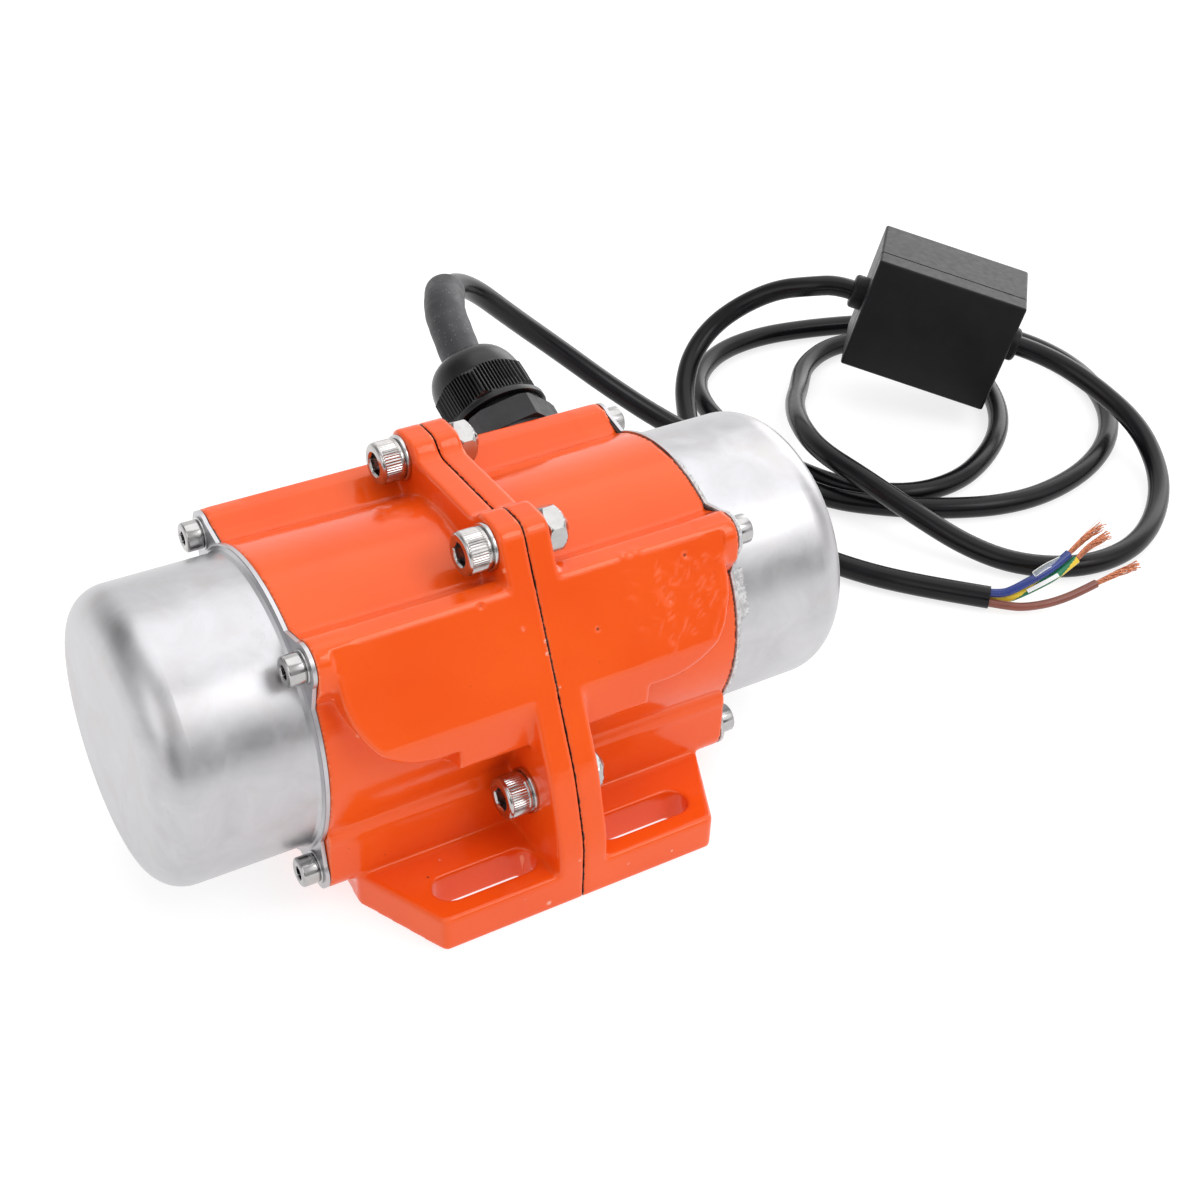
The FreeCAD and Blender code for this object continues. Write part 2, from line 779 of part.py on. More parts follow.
def bearing(side):
    """Outer ring, inner ring, balls and cage of one deep groove bearing."""
    x0 = bearing_start_x
    x1 = bearing_end_x
    middle = (x0 + x1) / 2
    groove = race_groove(middle)
    outer = ring_x(bearing_radius, outer_race_radius, x0, x1).cut(groove)
    inner = ring_x(inner_race_radius, shaft_radius + seat_clearance / 2, x0, x1).cut(groove)
    balls = []
    cage = ring_x(ball_pitch + cage_half_thickness, ball_pitch - cage_half_thickness,
                  middle - cage_half_width, middle + cage_half_width)
    for k in range(ball_count):
        angle = 2 * math.pi * k / ball_count
        centre = point(middle, ball_pitch * math.cos(angle), ball_pitch * math.sin(angle))
        balls.append(Part.makeSphere(ball_radius, centre))
        cage = cage.cut(Part.makeSphere(ball_radius + ball_play, centre))
    shapes = [outer, inner, Part.makeCompound(balls), cage]
    if side < 0:
        shapes = [mirror_x(s) for s in shapes]
    return shapes


def preload_washer():
    """Conical spring washer between the left bearing and its lip."""
    x0 = -lip_start_x + 0.05
    x1 = -bearing_end_x - 0.05
    inner = lip_hole_radius + 0.8
    outer = bearing_radius - 0.3
    sheet = 0.4
    return revolve_x([(x0, inner), (x0 + sheet, inner), (x1, outer), (x1 - sheet, outer)])


def bearing_shim():
    return ring_x(bearing_radius - 0.2, lip_hole_radius + 0.8, bearing_end_x, lip_start_x)


def weight_spacer():
    return ring_x(spacer_radius, shaft_radius + seat_clearance / 2, bearing_end_x, spacer_end_x)


def weight(x0, x1, bore):
    """Unbalance weight hanging down, with a split clamp lug above the shaft."""
    span = math.radians(weight_half_angle)
    left = point(x0, -weight_radius * math.sin(span), -weight_radius * math.cos(span))
    right = point(x0, weight_radius * math.sin(span), -weight_radius * math.cos(span))
    bottom = point(x0, 0, -weight_radius)
    neck_left = point(x0, -weight_hub_radius * 0.97, 2.0)
    neck_right = point(x0, weight_hub_radius * 0.97, 2.0)
    wire = Part.Wire([Part.Arc(left, bottom, right).toShape(), Part.LineSegment(right, neck_right).toShape(),
                      Part.LineSegment(neck_right, neck_left).toShape(),
                      Part.LineSegment(neck_left, left).toShape()])
    sector = Part.Face(wire).extrude(V(x1 - x0, 0, 0))
    hub = cylinder_x(weight_hub_radius, x0, x1)
    lug = prism_x([(-lug_half_width, 0, 0), (-lug_half_width, lug_rise, 2), (lug_half_width, lug_rise, 2),
                   (lug_half_width, 0, 0)], x0, x1)
    solid = fuse_all([sector, hub, lug])
    solid = solid.cut(cylinder_x(shaft_radius + bore, x0 - 1, x1 + 1))
    slit = Part.makeBox(x1 - x0 + 2, lug_slit, lug_rise + 2, point(x0 - 1, -lug_slit / 2, 0))
    solid = solid.cut(slit)
    hole = Part.makeCylinder(clamp_bolt_radius + thread_clearance, 2 * lug_half_width + 2,
                             point((x0 + x1) / 2, -lug_half_width - 1, clamp_bolt_rise), Y_AXIS)
    return solid.cut(hole)


def clamp_bolt(x0, x1):
    """Screw that closes the split lug of a weight, head towards -Y."""
    middle = (x0 + x1) / 2
    under = point(middle, -lug_half_width, clamp_bolt_rise)
    shank = Part.makeCylinder(clamp_bolt_radius, 2 * lug_half_width - 1.0, under, Y_AXIS)
    head = Part.makeCylinder(clamp_bolt_head_radius, clamp_bolt_head, under, V(0, -1, 0))
    pocket = hexagon(cap_screw_socket, 0, 0, 0).extrude(V(clamp_bolt_head * 0.55, 0, 0))
    pocket.translate(V(0, 0, -axis_height))
    pocket.rotate(V(0, 0, 0), Z_AXIS, 90)
    pocket.translate(under + V(0, -clamp_bolt_head, 0))
    return head.fuse(shank).removeSplitter().cut(pocket)


def retaining_ring():
    ring = ring_x(ring_outer_radius, shaft_radius - ring_groove_depth + 0.05,
                  ring_start_x + 0.05, ring_start_x + ring_width - 0.05)
    gap = Part.makeBox(ring_width + 2, ring_opening, ring_outer_radius + 1,
                       point(ring_start_x - 1, -ring_opening / 2, 0))
    return ring.cut(gap)


# Cable gland

def gland_hexagon(across, start, end, turn):
    base, axis = gland_frame()
    up = V(0, -axis.z, axis.y)
    corners = []
    for k in range(6):
        angle = math.radians(60 * k + 30 + turn)
        direction = up * math.cos(angle) - X_AXIS * math.sin(angle)
        corners.append(base + axis * start + direction * (across / math.sqrt(3)))
    return Part.Face(Part.makePolygon(corners + corners[:1])).extrude(axis * (end - start))


def gland_body():
    hexagonal = gland_hexagon(gland_hex_across, gland_ring_thickness, gland_hex_top, gland_hex_turn)
    crown = gland_hex_across / math.sqrt(3)
    trim = gland_revolve([(0, 0), (0, crown - 0.8), (gland_ring_thickness + 1.0, crown + 0.2),
                          (gland_hex_top - 0.8, crown + 0.2), (gland_hex_top, crown - 0.9), (gland_hex_top, 0)])
    body = hexagonal.common(trim)
    body = body.fuse(gland_cylinder(gland_thread_radius, -gland_stub, gland_ring_thickness))
    body = body.fuse(gland_cylinder(gland_neck_radius, gland_hex_top, gland_neck_top))
    body = body.removeSplitter()
    return body.cut(gland_cylinder(gland_bore, -gland_stub - 1, gland_neck_top + 1))


def gland_o_ring():
    ring = gland_cylinder(gland_thread_radius + 2.0, 0, gland_ring_thickness)
    return ring.cut(gland_cylinder(gland_thread_radius + thread_clearance, -1, gland_ring_thickness + 1))


def gland_nut():
    """Domed clamping nut with fine grip ribs."""
    side_end = gland_nut_start + gland_nut_side
    base, axis = gland_frame()
    up = V(0, -axis.z, axis.y)

    def at(s, r):
        return base + axis * s + up * r

    mouth = gland_mouth_radius
    shoulder = gland_nut_radius - 0.6
    outline = Part.Wire([
        Part.LineSegment(at(gland_nut_start, 0), at(gland_nut_start, gland_nut_radius + 0.7)).toShape(),
        Part.LineSegment(at(gland_nut_start, gland_nut_radius + 0.7),
                         at(gland_nut_start + 1.4, gland_nut_radius + 0.7)).toShape(),
        Part.LineSegment(at(gland_nut_start + 1.4, gland_nut_radius + 0.7),
                         at(gland_nut_start + 1.8, gland_nut_radius)).toShape(),
        Part.LineSegment(at(gland_nut_start + 1.8, gland_nut_radius), at(side_end, shoulder)).toShape(),
        Part.Arc(at(side_end, shoulder),
                 at(side_end + (gland_nut_top - side_end) * 0.72, mouth + (shoulder - mouth) * 0.62),
                 at(gland_nut_top, mouth + 0.2)).toShape(),
        Part.LineSegment(at(gland_nut_top, mouth + 0.2), at(gland_nut_top, 0)).toShape(),
        Part.LineSegment(at(gland_nut_top, 0), at(gland_nut_start, 0)).toShape()])
    nut = Part.Face(outline).revolve(base, axis, 360)
    rib = gland_nut_rib
    ribs = []
    for k in range(gland_nut_ribs):
        angle = 2 * math.pi * k / gland_nut_ribs
        direction = up * math.cos(angle) + X_AXIS * math.sin(angle)
        start = base + axis * (gland_nut_start + 2.2) + direction * (gland_nut_radius + 0.1)
        ribs.append(Part.makeCylinder(rib, gland_nut_side - 3.0, start, axis))
    nut = nut.cut(ribs)
    nut = nut.cut(gland_cylinder(mouth, gland_nut_start - 1, gland_nut_top + 1))
    return nut.cut(gland_cylinder(gland_neck_radius + thread_clearance, gland_nut_start - 1,
                                  gland_seal_start))


def gland_seal():
    seal = gland_revolve([(gland_seal_start, sleeve_radius + 0.1), (gland_seal_start, gland_mouth_radius - 0.15),
                          (gland_seal_top, gland_mouth_radius - 0.15), (gland_seal_top, sleeve_radius + 0.1)])
    return seal


# Cords

def cord_path(points, name, last_run=None):
    """Straight runs joined by tangent arcs as large as the runs allow."""
    corners = [V(*p) for p in points]
    edges = []
    start = corners[0]
    tightest = None
    for i in range(1, len(corners) - 1):
        back = corners[i - 1] - corners[i]
        ahead = corners[i + 1] - corners[i]
        shorter = min(back.Length, ahead.Length)
        turn = math.pi - back.getAngle(ahead)
        reach = 0.45 * shorter
        radius = reach / math.tan(turn / 2)
        back.normalize()
        ahead.normalize()
        enter = corners[i] + back * reach
        leave = corners[i] + ahead * reach
        inward = back + ahead
        inward.normalize()
        middle = corners[i] + inward * (radius / math.cos(turn / 2) - radius)
        edges.append(Part.LineSegment(start, enter).toShape())
        edges.append(Part.Arc(enter, middle, leave).toShape())
        start = leave
        print(name, "point", i, "radius", round(radius, 1))
        if tightest is None or radius < tightest:
            tightest = radius
    end = corners[-1]
    if last_run is not None:
        end = corners[-2] + (corners[-1] - corners[-2]).normalize() * last_run
    edges.append(Part.LineSegment(start, end).toShape())
    wire = Part.Wire(edges)
    print(name, "length", round(wire.Length, 1), "tightest radius", round(tightest, 1))
    return wire


def sweep(wire, radius, name):
    first = wire.Edges[0]
    start = first.valueAt(first.FirstParameter)
    direction = first.tangentAt(first.FirstParameter)
    circle = Part.Wire([Part.Circle(start, direction, radius).toShape()])
    solid = wire.makePipeShell([circle], True, False)
    expected = math.pi * radius ** 2 * wire.Length
    print(name, "volume over section times length", round(solid.Volume / expected, 5))
    return solid


def tube_along(points, radius, name):
    return sweep(cord_path(points, name), radius, name)


def box_frame():
    placement = FreeCAD.Placement(box_centre, FreeCAD.Rotation(box_yaw, box_pitch, 0))
    return placement


def in_box_frame(shape):
    moved = shape.copy()
    moved.Placement = box_frame().multiply(moved.Placement)
    return moved


def box_exit(side, further=0.0):
    """Point on a grommet's line, at its outer face or further out, on the end that side tells."""
    return box_frame().multVec(V(side * (box_length / 2 + grommet_length + further), 0, 0))


def power_points():
    return [V(*p) for p in power_route] + [box_exit(1, power_exit_run), box_exit(1)]


def lead_points():
    return [box_exit(-1), box_exit(-1, lead_exit_run)] + [V(*p) for p in lead_route]


def power_cord():
    return tube_along(power_points(), cord_radius, "power_cord")


def lead_cord():
    return tube_along(lead_points(), cord_radius, "lead_cord")


def cable_sleeve():
    """Thick rubber sleeve over the first stretch of the power cord."""
    wire = cord_path(power_points()[:5], "cable_sleeve", sleeve_end_run)
    outer = sweep(wire, sleeve_radius, "cable_sleeve outside")
    inner = sweep(wire, cord_radius + sleeve_play, "cable_sleeve bore")
    return outer.cut(inner)


def motor_lead():
    """Cable inside the gland and the housing wall, up to the start of the free cord."""
    base, axis = gland_frame()
    start = V(*power_route[0])
    inside = base - axis * (gland_stub + 1.0)
    length = (start - inside).Length
    return Part.makeCylinder(cord_radius, length, inside, axis)


def capacitor_box():
    outer = Part.makeBox(box_length, box_depth - lid_thickness, box_height,
                         V(-box_length / 2, -box_depth / 2 + lid_thickness, -box_height / 2))
    upright = [e for e in outer.Edges if e.BoundBox.YMin > -box_depth / 2 + lid_thickness - 0.1
               and (e.BoundBox.YLength > 1.0 or e.BoundBox.YMin > box_depth / 2 - 0.1)]
    outer = outer.makeFillet(box_edge, upright)
    room = Part.makeBox(box_length - 2 * box_wall, box_depth - lid_thickness - box_wall,
                        box_height - 2 * box_wall,
                        V(-box_length / 2 + box_wall, -box_depth / 2 + lid_thickness,
                          -box_height / 2 + box_wall))
    shell = outer.cut(room)
    for side in (-1, 1):
        wall = side * (box_length / 2 - box_wall / 2)
        hole = Part.makeCylinder(grommet_neck_radius, box_wall + 2, V(wall - box_wall / 2 - 1, 0, 0), X_AXIS)
        shell = shell.cut(hole)
    return in_box_frame(shell)


def box_lid():
    lid = Part.makeBox(box_length, lid_thickness, box_height,
                       V(-box_length / 2, -box_depth / 2, -box_height / 2))
    rim = [e for e in lid.Edges if e.BoundBox.YMax < -box_depth / 2 + 0.01 or e.BoundBox.YLength > 1.0]
    lid = lid.makeFillet(box_edge, rim)
    room = Part.makeBox(box_length - 2 * box_wall, lid_thickness - box_wall, box_height - 2 * box_wall,
                        V(-box_length / 2 + box_wall, -box_depth / 2 + box_wall, -box_height / 2 + box_wall))
    return in_box_frame(lid.cut(room))


def capacitor():
    body = Part.makeBox(capacitor_length, capacitor_depth, capacitor_height,
                        V(-capacitor_length / 2, -box_depth / 2 + box_wall + 0.5, -capacitor_height / 2))
    return in_box_frame(body.makeFillet(1.5, body.Edges))


def box_grommet(side):
    inner = side * (box_length / 2 - box_wall)
    face = side * box_length / 2
    tip = side * (box_length / 2 + grommet_length)
    way = V(side, 0, 0)
    collar = Part.makeCylinder(grommet_radius, grommet_length, V(face, 0, 0), way)
    rim = [e for e in collar.Edges if abs(e.BoundBox.XMin - tip) < 1e-6 and abs(e.BoundBox.XMax - tip) < 1e-6]
    collar = collar.makeFillet(1.2, rim)
    neck = Part.makeCylinder(grommet_neck_radius - 0.05, box_wall, V(inner, 0, 0), way)
    return in_box_frame(collar.fuse(neck).removeSplitter())


def just_past(route, gap):
    """The route with its first point moved along its first run, clear of the piece before it."""
    points = [V(*p) for p in route]
    points[0] = points[0] + (points[1] - points[0]).normalize() * gap
    return points


def copper_strands():
    """Bare twisted ends of the three cores, as one rod each, just clear of the insulation."""
    return Part.makeCompound([tube_along(just_past(run, strand_gap), strand_radius, "strands")
                              for run in strand_ends])


def build():
    left_half, right_half = housing()
    nodes = {
        "housing_left_half": left_half,
        "housing_right_half": right_half,
        "flange_bolts": flange_bolts(),
        "flange_washers": flange_washers(),
        "flange_nuts": flange_nuts(),
        "stator_core": stator_core(),
        "stator_winding": stator_winding(),
        "shaft": shaft(),
        "rotor_core": rotor_core(),
        "rotor_end_rings": rotor_end_rings(),
        "bearing_preload_washer": preload_washer(),
        "bearing_shim": bearing_shim(),
        "gland_body": gland_body(),
        "gland_o_ring": gland_o_ring(),
        "gland_seal": gland_seal(),
        "gland_nut": gland_nut(),
        "motor_lead": motor_lead(),
        "cable_sleeve": cable_sleeve(),
        "power_cord": power_cord(),
        "capacitor_box": capacitor_box(),
        "box_lid": box_lid(),
        "capacitor": capacitor(),
        "box_grommet_left": box_grommet(-1),
        "box_grommet_right": box_grommet(1),
        "lead_cord": lead_cord(),
        "wire_brown": tube_along(just_past(brown_route, core_gap), core_radius, "wire_brown"),
        "wire_blue": tube_along(just_past(blue_route, core_gap), core_radius, "wire_blue"),
        "wire_green_yellow": tube_along(just_past(green_route, core_gap), core_radius, "wire_green_yellow"),
        "copper_strands": copper_strands(),
    }
    paired = {
        "end_cap": end_cap(),
        "cap_gasket": cap_gasket(),
        "cap_screws": cap_screws(),
        "cap_washers": cap_washers(),
        "weight_spacer": weight_spacer(),
        "inner_weight": weight(spacer_end_x, inner_weight_end, seat_clearance / 2),
        "inner_weight_bolt": clamp_bolt(spacer_end_x, inner_weight_end),
        "outer_weight": weight(outer_weight_start, outer_weight_end, weight_bore_clearance),
        "outer_weight_bolt": clamp_bolt(outer_weight_start, outer_weight_end),
        "retaining_ring": retaining_ring(),
    }
    for name, shape in paired.items():
        nodes["right_" + name] = shape
        nodes["left_" + name] = mirror_x(shape)
    for side, label in ((-1, "left"), (1, "right")):
        outer, inner, balls, cage = bearing(side)
        nodes[label + "_bearing_outer_ring"] = outer
        nodes[label + "_bearing_inner_ring"] = inner
        nodes[label + "_bearing_balls"] = balls
        nodes[label + "_bearing_cage"] = cage
    return nodes


os.makedirs("parts", exist_ok=True)
for node, solid in build().items():
    solid.exportStep("parts/%s.step" % node)
    print(node, "valid", solid.isValid(), "solids", len(solid.Solids), "volume", round(solid.Volume, 1))
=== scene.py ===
import math

import bmesh
import bpy
import numpy as np
from mathutils import Matrix, Vector, noise


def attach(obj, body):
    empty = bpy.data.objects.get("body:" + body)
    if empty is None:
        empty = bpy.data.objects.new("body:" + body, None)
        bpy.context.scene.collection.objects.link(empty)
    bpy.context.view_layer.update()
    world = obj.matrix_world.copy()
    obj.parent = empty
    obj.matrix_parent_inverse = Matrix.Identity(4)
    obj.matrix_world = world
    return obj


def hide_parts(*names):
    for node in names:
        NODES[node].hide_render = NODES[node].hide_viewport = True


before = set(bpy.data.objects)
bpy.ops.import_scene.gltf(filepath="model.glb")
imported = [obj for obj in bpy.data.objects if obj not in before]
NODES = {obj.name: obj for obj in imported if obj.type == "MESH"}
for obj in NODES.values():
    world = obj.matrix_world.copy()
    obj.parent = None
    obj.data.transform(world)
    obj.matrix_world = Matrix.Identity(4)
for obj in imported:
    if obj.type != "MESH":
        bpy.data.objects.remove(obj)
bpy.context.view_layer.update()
SCENE = bpy.context.scene
MM = 0.001
AXIS_Z = 39.3


def mm(x, y, z):
    return Vector((x * MM, y * MM, z * MM))


# Camera: its place in mm, its directions, and its focal length as a share of the picture's width

SENSOR_WIDTH = 36.0
FOCAL_SHARE = 1889.214 / 1200
CAMERA_PLACE = (-167.99, -317.89, 305.55)
CAMERA_RIGHT = (0.8546, -0.5179, 0.0375)
CAMERA_BACK = (-0.4405, -0.6849, 0.5804)


def make_camera():
    data = bpy.data.cameras.new("camera")
    data.sensor_width = SENSOR_WIDTH
    data.lens = FOCAL_SHARE * SENSOR_WIDTH
    data.clip_start, data.clip_end = 0.01, 20.0
    camera = bpy.data.objects.new("camera", data)
    SCENE.collection.objects.link(camera)
    right = Vector(CAMERA_RIGHT).normalized()
    back = Vector(CAMERA_BACK).normalized()
    up = back.cross(right).normalized()
    right = up.cross(back).normalized()
    turn = Matrix((right, up, back)).transposed()
    camera.matrix_world = Matrix.Translation(mm(*CAMERA_PLACE)) @ turn.to_4x4()
    SCENE.camera = camera


make_camera()


# Node tree helpers

class Look:
    """Small builder for a procedural material. Patterns use object coordinates in millimetres."""

    def __init__(self, name, colour, metallic=0.0, roughness=0.5, **sockets):
        self.material = bpy.data.materials.new(name)
        self.material.use_nodes = True
        self.tree = self.material.node_tree
        self.shader = self.tree.nodes["Principled BSDF"]
        self.shader.inputs["Base Color"].default_value = (*colour, 1)
        self.shader.inputs["Metallic"].default_value = metallic
        self.shader.inputs["Roughness"].default_value = roughness
        for key, value in sockets.items():
            self.shader.inputs[key.replace("_", " ")].default_value = value
        coordinates = self.node("ShaderNodeTexCoord")
        scale = self.node("ShaderNodeVectorMath", operation="SCALE")
        scale.inputs["Scale"].default_value = 1000.0
        self.link(coordinates.outputs["Object"], scale.inputs[0])
        self.place = scale.outputs[0]
        self.split = None

    def node(self, kind, **values):
        made = self.tree.nodes.new(kind)
        for key, value in values.items():
            setattr(made, key, value)
        return made

    def link(self, a, b):
        self.tree.links.new(a, b)

    def put(self, value, socket):
        if isinstance(value, (int, float)):
            socket.default_value = value
        elif isinstance(value, tuple):
            socket.default_value = (*value, 1) if len(value) == 3 and socket.type == "RGBA" else value
        else:
            self.link(value, socket)

    def axis(self, name):
        if self.split is None:
            self.split = self.node("ShaderNodeSeparateXYZ")
            self.link(self.place, self.split.inputs[0])
        return self.split.outputs[name]

    def reckon(self, operation, a, b=0.0, clamp=False):
        made = self.node("ShaderNodeMath", operation=operation, use_clamp=clamp)
        self.put(a, made.inputs[0])
        self.put(b, made.inputs[1])
        return made.outputs[0]

    def times(self, a, b):
        return self.reckon("MULTIPLY", a, b)

    def stretched(self, x, y, z):
        made = self.node("ShaderNodeVectorMath", operation="MULTIPLY")
        self.link(self.place, made.inputs[0])
        made.inputs[1].default_value = (x, y, z)
        return made.outputs[0]

    def noise(self, scale, detail=2.0, rough=0.5, place=None, distortion=0.0):
        made = self.node("ShaderNodeTexNoise")
        self.link(place or self.place, made.inputs["Vector"])
        numbers = {"Scale": scale, "Detail": detail, "Roughness": rough, "Distortion": distortion}
        for key, number in numbers.items():
            made.inputs[key].default_value = number
        return made.outputs["Fac"]

    def cells(self, scale):
        made = self.node("ShaderNodeTexVoronoi", feature="F1")
        self.link(self.place, made.inputs["Vector"])
        made.inputs["Scale"].default_value = scale
        return made.outputs["Distance"]

    def span(self, value, low, high, to_low=0.0, to_high=1.0, smooth=False):
        made = self.node("ShaderNodeMapRange", interpolation_type="SMOOTHSTEP" if smooth else "LINEAR")
        self.put(value, made.inputs["Value"])
        numbers = {"From Min": low, "From Max": high, "To Min": to_low, "To Max": to_high}
        for key, number in numbers.items():
            made.inputs[key].default_value = number
        return made.outputs["Result"]

    def mix(self, share, a, b):
        made = self.node("ShaderNodeMix", data_type="RGBA")
        self.put(share, made.inputs[0])
        self.put(a, made.inputs[6])
        self.put(b, made.inputs[7])
        return made.outputs[2]

    def colour(self, value):
        self.link(value, self.shader.inputs["Base Color"])

    def rough(self, value):
        self.link(value, self.shader.inputs["Roughness"])

    def bump(self, *layers):
        """Each layer is (height, distance in mm, strength)."""
        normal = None
        for height, distance, strength in layers:
            made = self.node("ShaderNodeBump")
            made.inputs["Strength"].default_value = strength
            made.inputs["Distance"].default_value = distance * MM
            self.link(height, made.inputs["Height"])
            if normal is not None:
                self.link(normal, made.inputs["Normal"])
            normal = made.outputs["Normal"]
        self.link(normal, self.shader.inputs["Normal"])


def blob(look, x, y, z, radius, soft):
    """Mask that is 1 inside a ball about a point in millimetres, and fades out over a soft rim."""
    made = look.node("ShaderNodeVectorMath", operation="DISTANCE")
    look.link(look.place, made.inputs[0])
    made.inputs[1].default_value = (x, y, z)
    return look.span(made.outputs["Value"], radius, radius + soft, 1.0, 0.0, smooth=True)


# Small casting marks: place, radius and height in mm, the height negative for a pit. The small pits are also
# painted dark as painted shade.
PITS = [(-13.5, -31.2, 71.1, 0.5, -0.5), (-15.9, 24.5, 69.8, 0.5, -0.4), (12.6, -36.9, 59.6, 0.6, -0.25),
        (37.7, -32.5, 68.6, 0.7, -0.3), (-5.1, -34.6, 64.3, 0.5, 0.2), (22.3, -30.4, 71.9, 0.9, 0.25),
        (25.6, -30.4, 71.9, 0.9, 0.2), (-32.1, -40.9, 9.1, 0.4, -0.2), (20.5, -12.8, 71.9, 0.7, 0.12),
        (9.5, -37.9, 56.0, 0.5, 0.15), (-20.0, -38.5, 57.5, 0.4, -0.15), (38.0, 31.5, 69.5, 0.6, -0.25)]
# Chips in the paint: place and radius in mm
CHIPS = [(-9.0, -55.3, 2.4, 0.55), (-15.3, -55.3, 6.7, 0.3), (-5.1, -34.6, 64.3, 0.35),
         (-0.4, -36.4, 60.6, 0.45), (-0.7, -37.6, 58.1, 0.4), (-1.2, -55.3, 12.0, 0.4), (0.7, -41.0, 50.8, 0.3),
         (-27.2, -37.3, 9.1, 0.3), (12.0, -55.3, 5.0, 0.35), (24.0, -55.3, 3.5, 0.3), (-0.6, 38.0, 57.0, 0.4),
         (14.0, 55.3, 4.0, 0.45)]


def paint_look():
    look = Look("orange_paint", (0.93, 0.085, 0.007), roughness=0.16, Coat_Weight=0.10, Coat_Roughness=0.04,
                Specular_IOR_Level=0.46, Specular_Tint=(1.0, 0.86, 0.68, 1.0))
    broad = look.span(look.noise(0.035, 2.0), 0.3, 0.7)
    base = look.mix(broad, (0.82, 0.080, 0.006), (0.87, 0.098, 0.009))
    clouds = look.span(look.noise(0.5, 3.0), 0.62, 0.8, 0.0, 0.25)
    base = look.mix(clouds, base, (0.80, 0.060, 0.006))

    dots = look.span(look.cells(0.23), 0.035, 0.065, 1.0, 0.0)
    low_down = look.span(look.axis("Z"), 6.0, 60.0, 1.0, 0.35)
    patches = look.span(look.noise(0.09), 0.5, 0.56)
    dust = look.times(dots, look.times(low_down, patches))
    base = look.mix(look.times(dust, 0.55), base, (0.14, 0.03, 0.02))

    from_seam = look.reckon("ABSOLUTE", look.axis("X"))
    flaked = look.span(look.noise(1.6, 4.0, 0.7), 0.635, 0.655)
    flaked = look.times(flaked, look.span(from_seam, 0.45, 1.5, 1.0, 0.0))
    base = look.mix(look.times(flaked, 0.7), base, (0.60, 0.20, 0.12))
    wobble = look.span(look.noise(0.8, 3.0, 0.6), 0.3, 0.7, -0.10, 0.14)
    in_seam = look.span(look.reckon("ADD", from_seam, wobble), 0.20, 0.30, 1.0, 0.0)
    base = look.mix(in_seam, base, (0.012, 0.006, 0.005))

    # Painted highlight: convex edges, found from the mesh's pointiness, are painted paler orange like the light
    # lines along rounded edges.
    edges = look.node("ShaderNodeNewGeometry").outputs["Pointiness"]
    base = look.mix(look.span(edges, 0.525, 0.60, 0.0, 0.60), base, (0.98, 0.40, 0.23))
    # Painted shade: the small pits are painted dark inside, like the shade in a hollow.
    for x, y, z, radius, height in PITS:
        if height < 0 and radius < 0.75:
            pit_shade = look.times(blob(look, x, y, z, radius * 0.5, 0.2), 0.75)
            base = look.mix(pit_shade, base, (0.10, 0.02, 0.012))
    for x, y, z, radius in CHIPS:
        ragged = look.span(look.noise(1.8, 3.0), 0.38, 0.48)
        chip = look.times(blob(look, x, y, z, radius * 0.5, radius), ragged)
        base = look.mix(look.times(chip, 0.6), base, (0.85, 0.55, 0.45))
    look.colour(base)
    look.rough(look.span(look.noise(0.12, 3.0), 0.3, 0.75, 0.11, 0.22))
    peel = look.noise(0.42, 2.0, 0.45)
    look.bump((peel, 0.22, 0.3), (look.noise(2.2, 2.0), 0.04, 0.25))
    return look.material


def sealant_mask(look):
    """Smears of sealant on the front of both caps, and the part of them on the right cap."""
    height = look.axis("Z")
    reach = look.reckon("ABSOLUTE", look.axis("X"))
    edge = look.span(look.noise(0.50, 3.0, 0.6), 0.3, 0.7, -1.5, 1.5)
    lower = look.span(height, 44.0, 48.0, 0.6, 3.2, True)
    upper = look.span(height, 57.0, 59.0, 0.0, -3.4)
    border = look.reckon("ADD", look.reckon("ADD", lower, upper), edge)
    right_mark = look.span(look.reckon("SUBTRACT", reach, border), 53.0, 53.4, 1.0, 0.0)
    from_line = look.reckon("ABSOLUTE", look.reckon("SUBTRACT", look.reckon("ADD", reach, edge), 57.0))
    left_mark = look.span(from_line, 0.3, 1.2, 0.18, 0.0)
    left_mark = look.times(left_mark, look.span(height, 67.5, 69.0))
    left_mark = look.times(left_mark, look.span(look.noise(0.24, 3.0), 0.40, 0.55))
    right_side = look.span(look.axis("X"), -1.0, 1.0)
    front = look.span(look.axis("Y"), -3.0, -6.0)
    sealant = look.times(look.mix(right_side, left_mark, right_mark), front)
    return sealant, look.times(sealant, right_side)


def cap_look():
    look = Look("drawn_steel", (0.58, 0.58, 0.59), metallic=1.0, roughness=0.34)
    smear = look.noise(0.10, 5.0, 0.62, distortion=0.6)
    base = look.mix(look.span(smear, 0.28, 0.74), (0.47, 0.465, 0.48), (0.585, 0.58, 0.60))
    spots = look.span(look.noise(0.9, 4.0, 0.7), 0.66, 0.76)
    base = look.mix(look.times(spots, 0.45), base, (0.38, 0.37, 0.37))
    sealant, right_sealant = sealant_mask(look)
    crumbs = look.span(look.noise(0.8, 3.0, 0.6), 0.40, 0.60)
    crust = look.mix(crumbs, (0.42, 0.42, 0.425), (0.74, 0.74, 0.74))
    base = look.mix(look.times(sealant, 0.8), base, crust)
    stain = look.span(look.noise(0.07, 4.0, 0.6, distortion=0.8), 0.50, 0.66, 0.0, 0.5)
    base = look.mix(stain, base, (0.50, 0.475, 0.46))
    look.colour(base)
    look.link(look.span(sealant, 0.0, 1.0, 1.0, 0.15), look.shader.inputs["Metallic"])
    base_rough = look.span(smear, 0.3, 0.75, 0.29, 0.42)
    look.rough(look.reckon("ADD", base_rough, look.times(sealant, 0.3), clamp=True))
    wave = look.noise(0.045, 1.0)
    grain = look.noise(5.0, 2.0, 0.6)
    lumps = look.times(right_sealant, look.noise(0.8, 3.0, 0.6))
    look.bump((wave, 1.2, 0.25), (grain, 0.02, 0.35), (lumps, 0.6, 0.7))
    return look.material


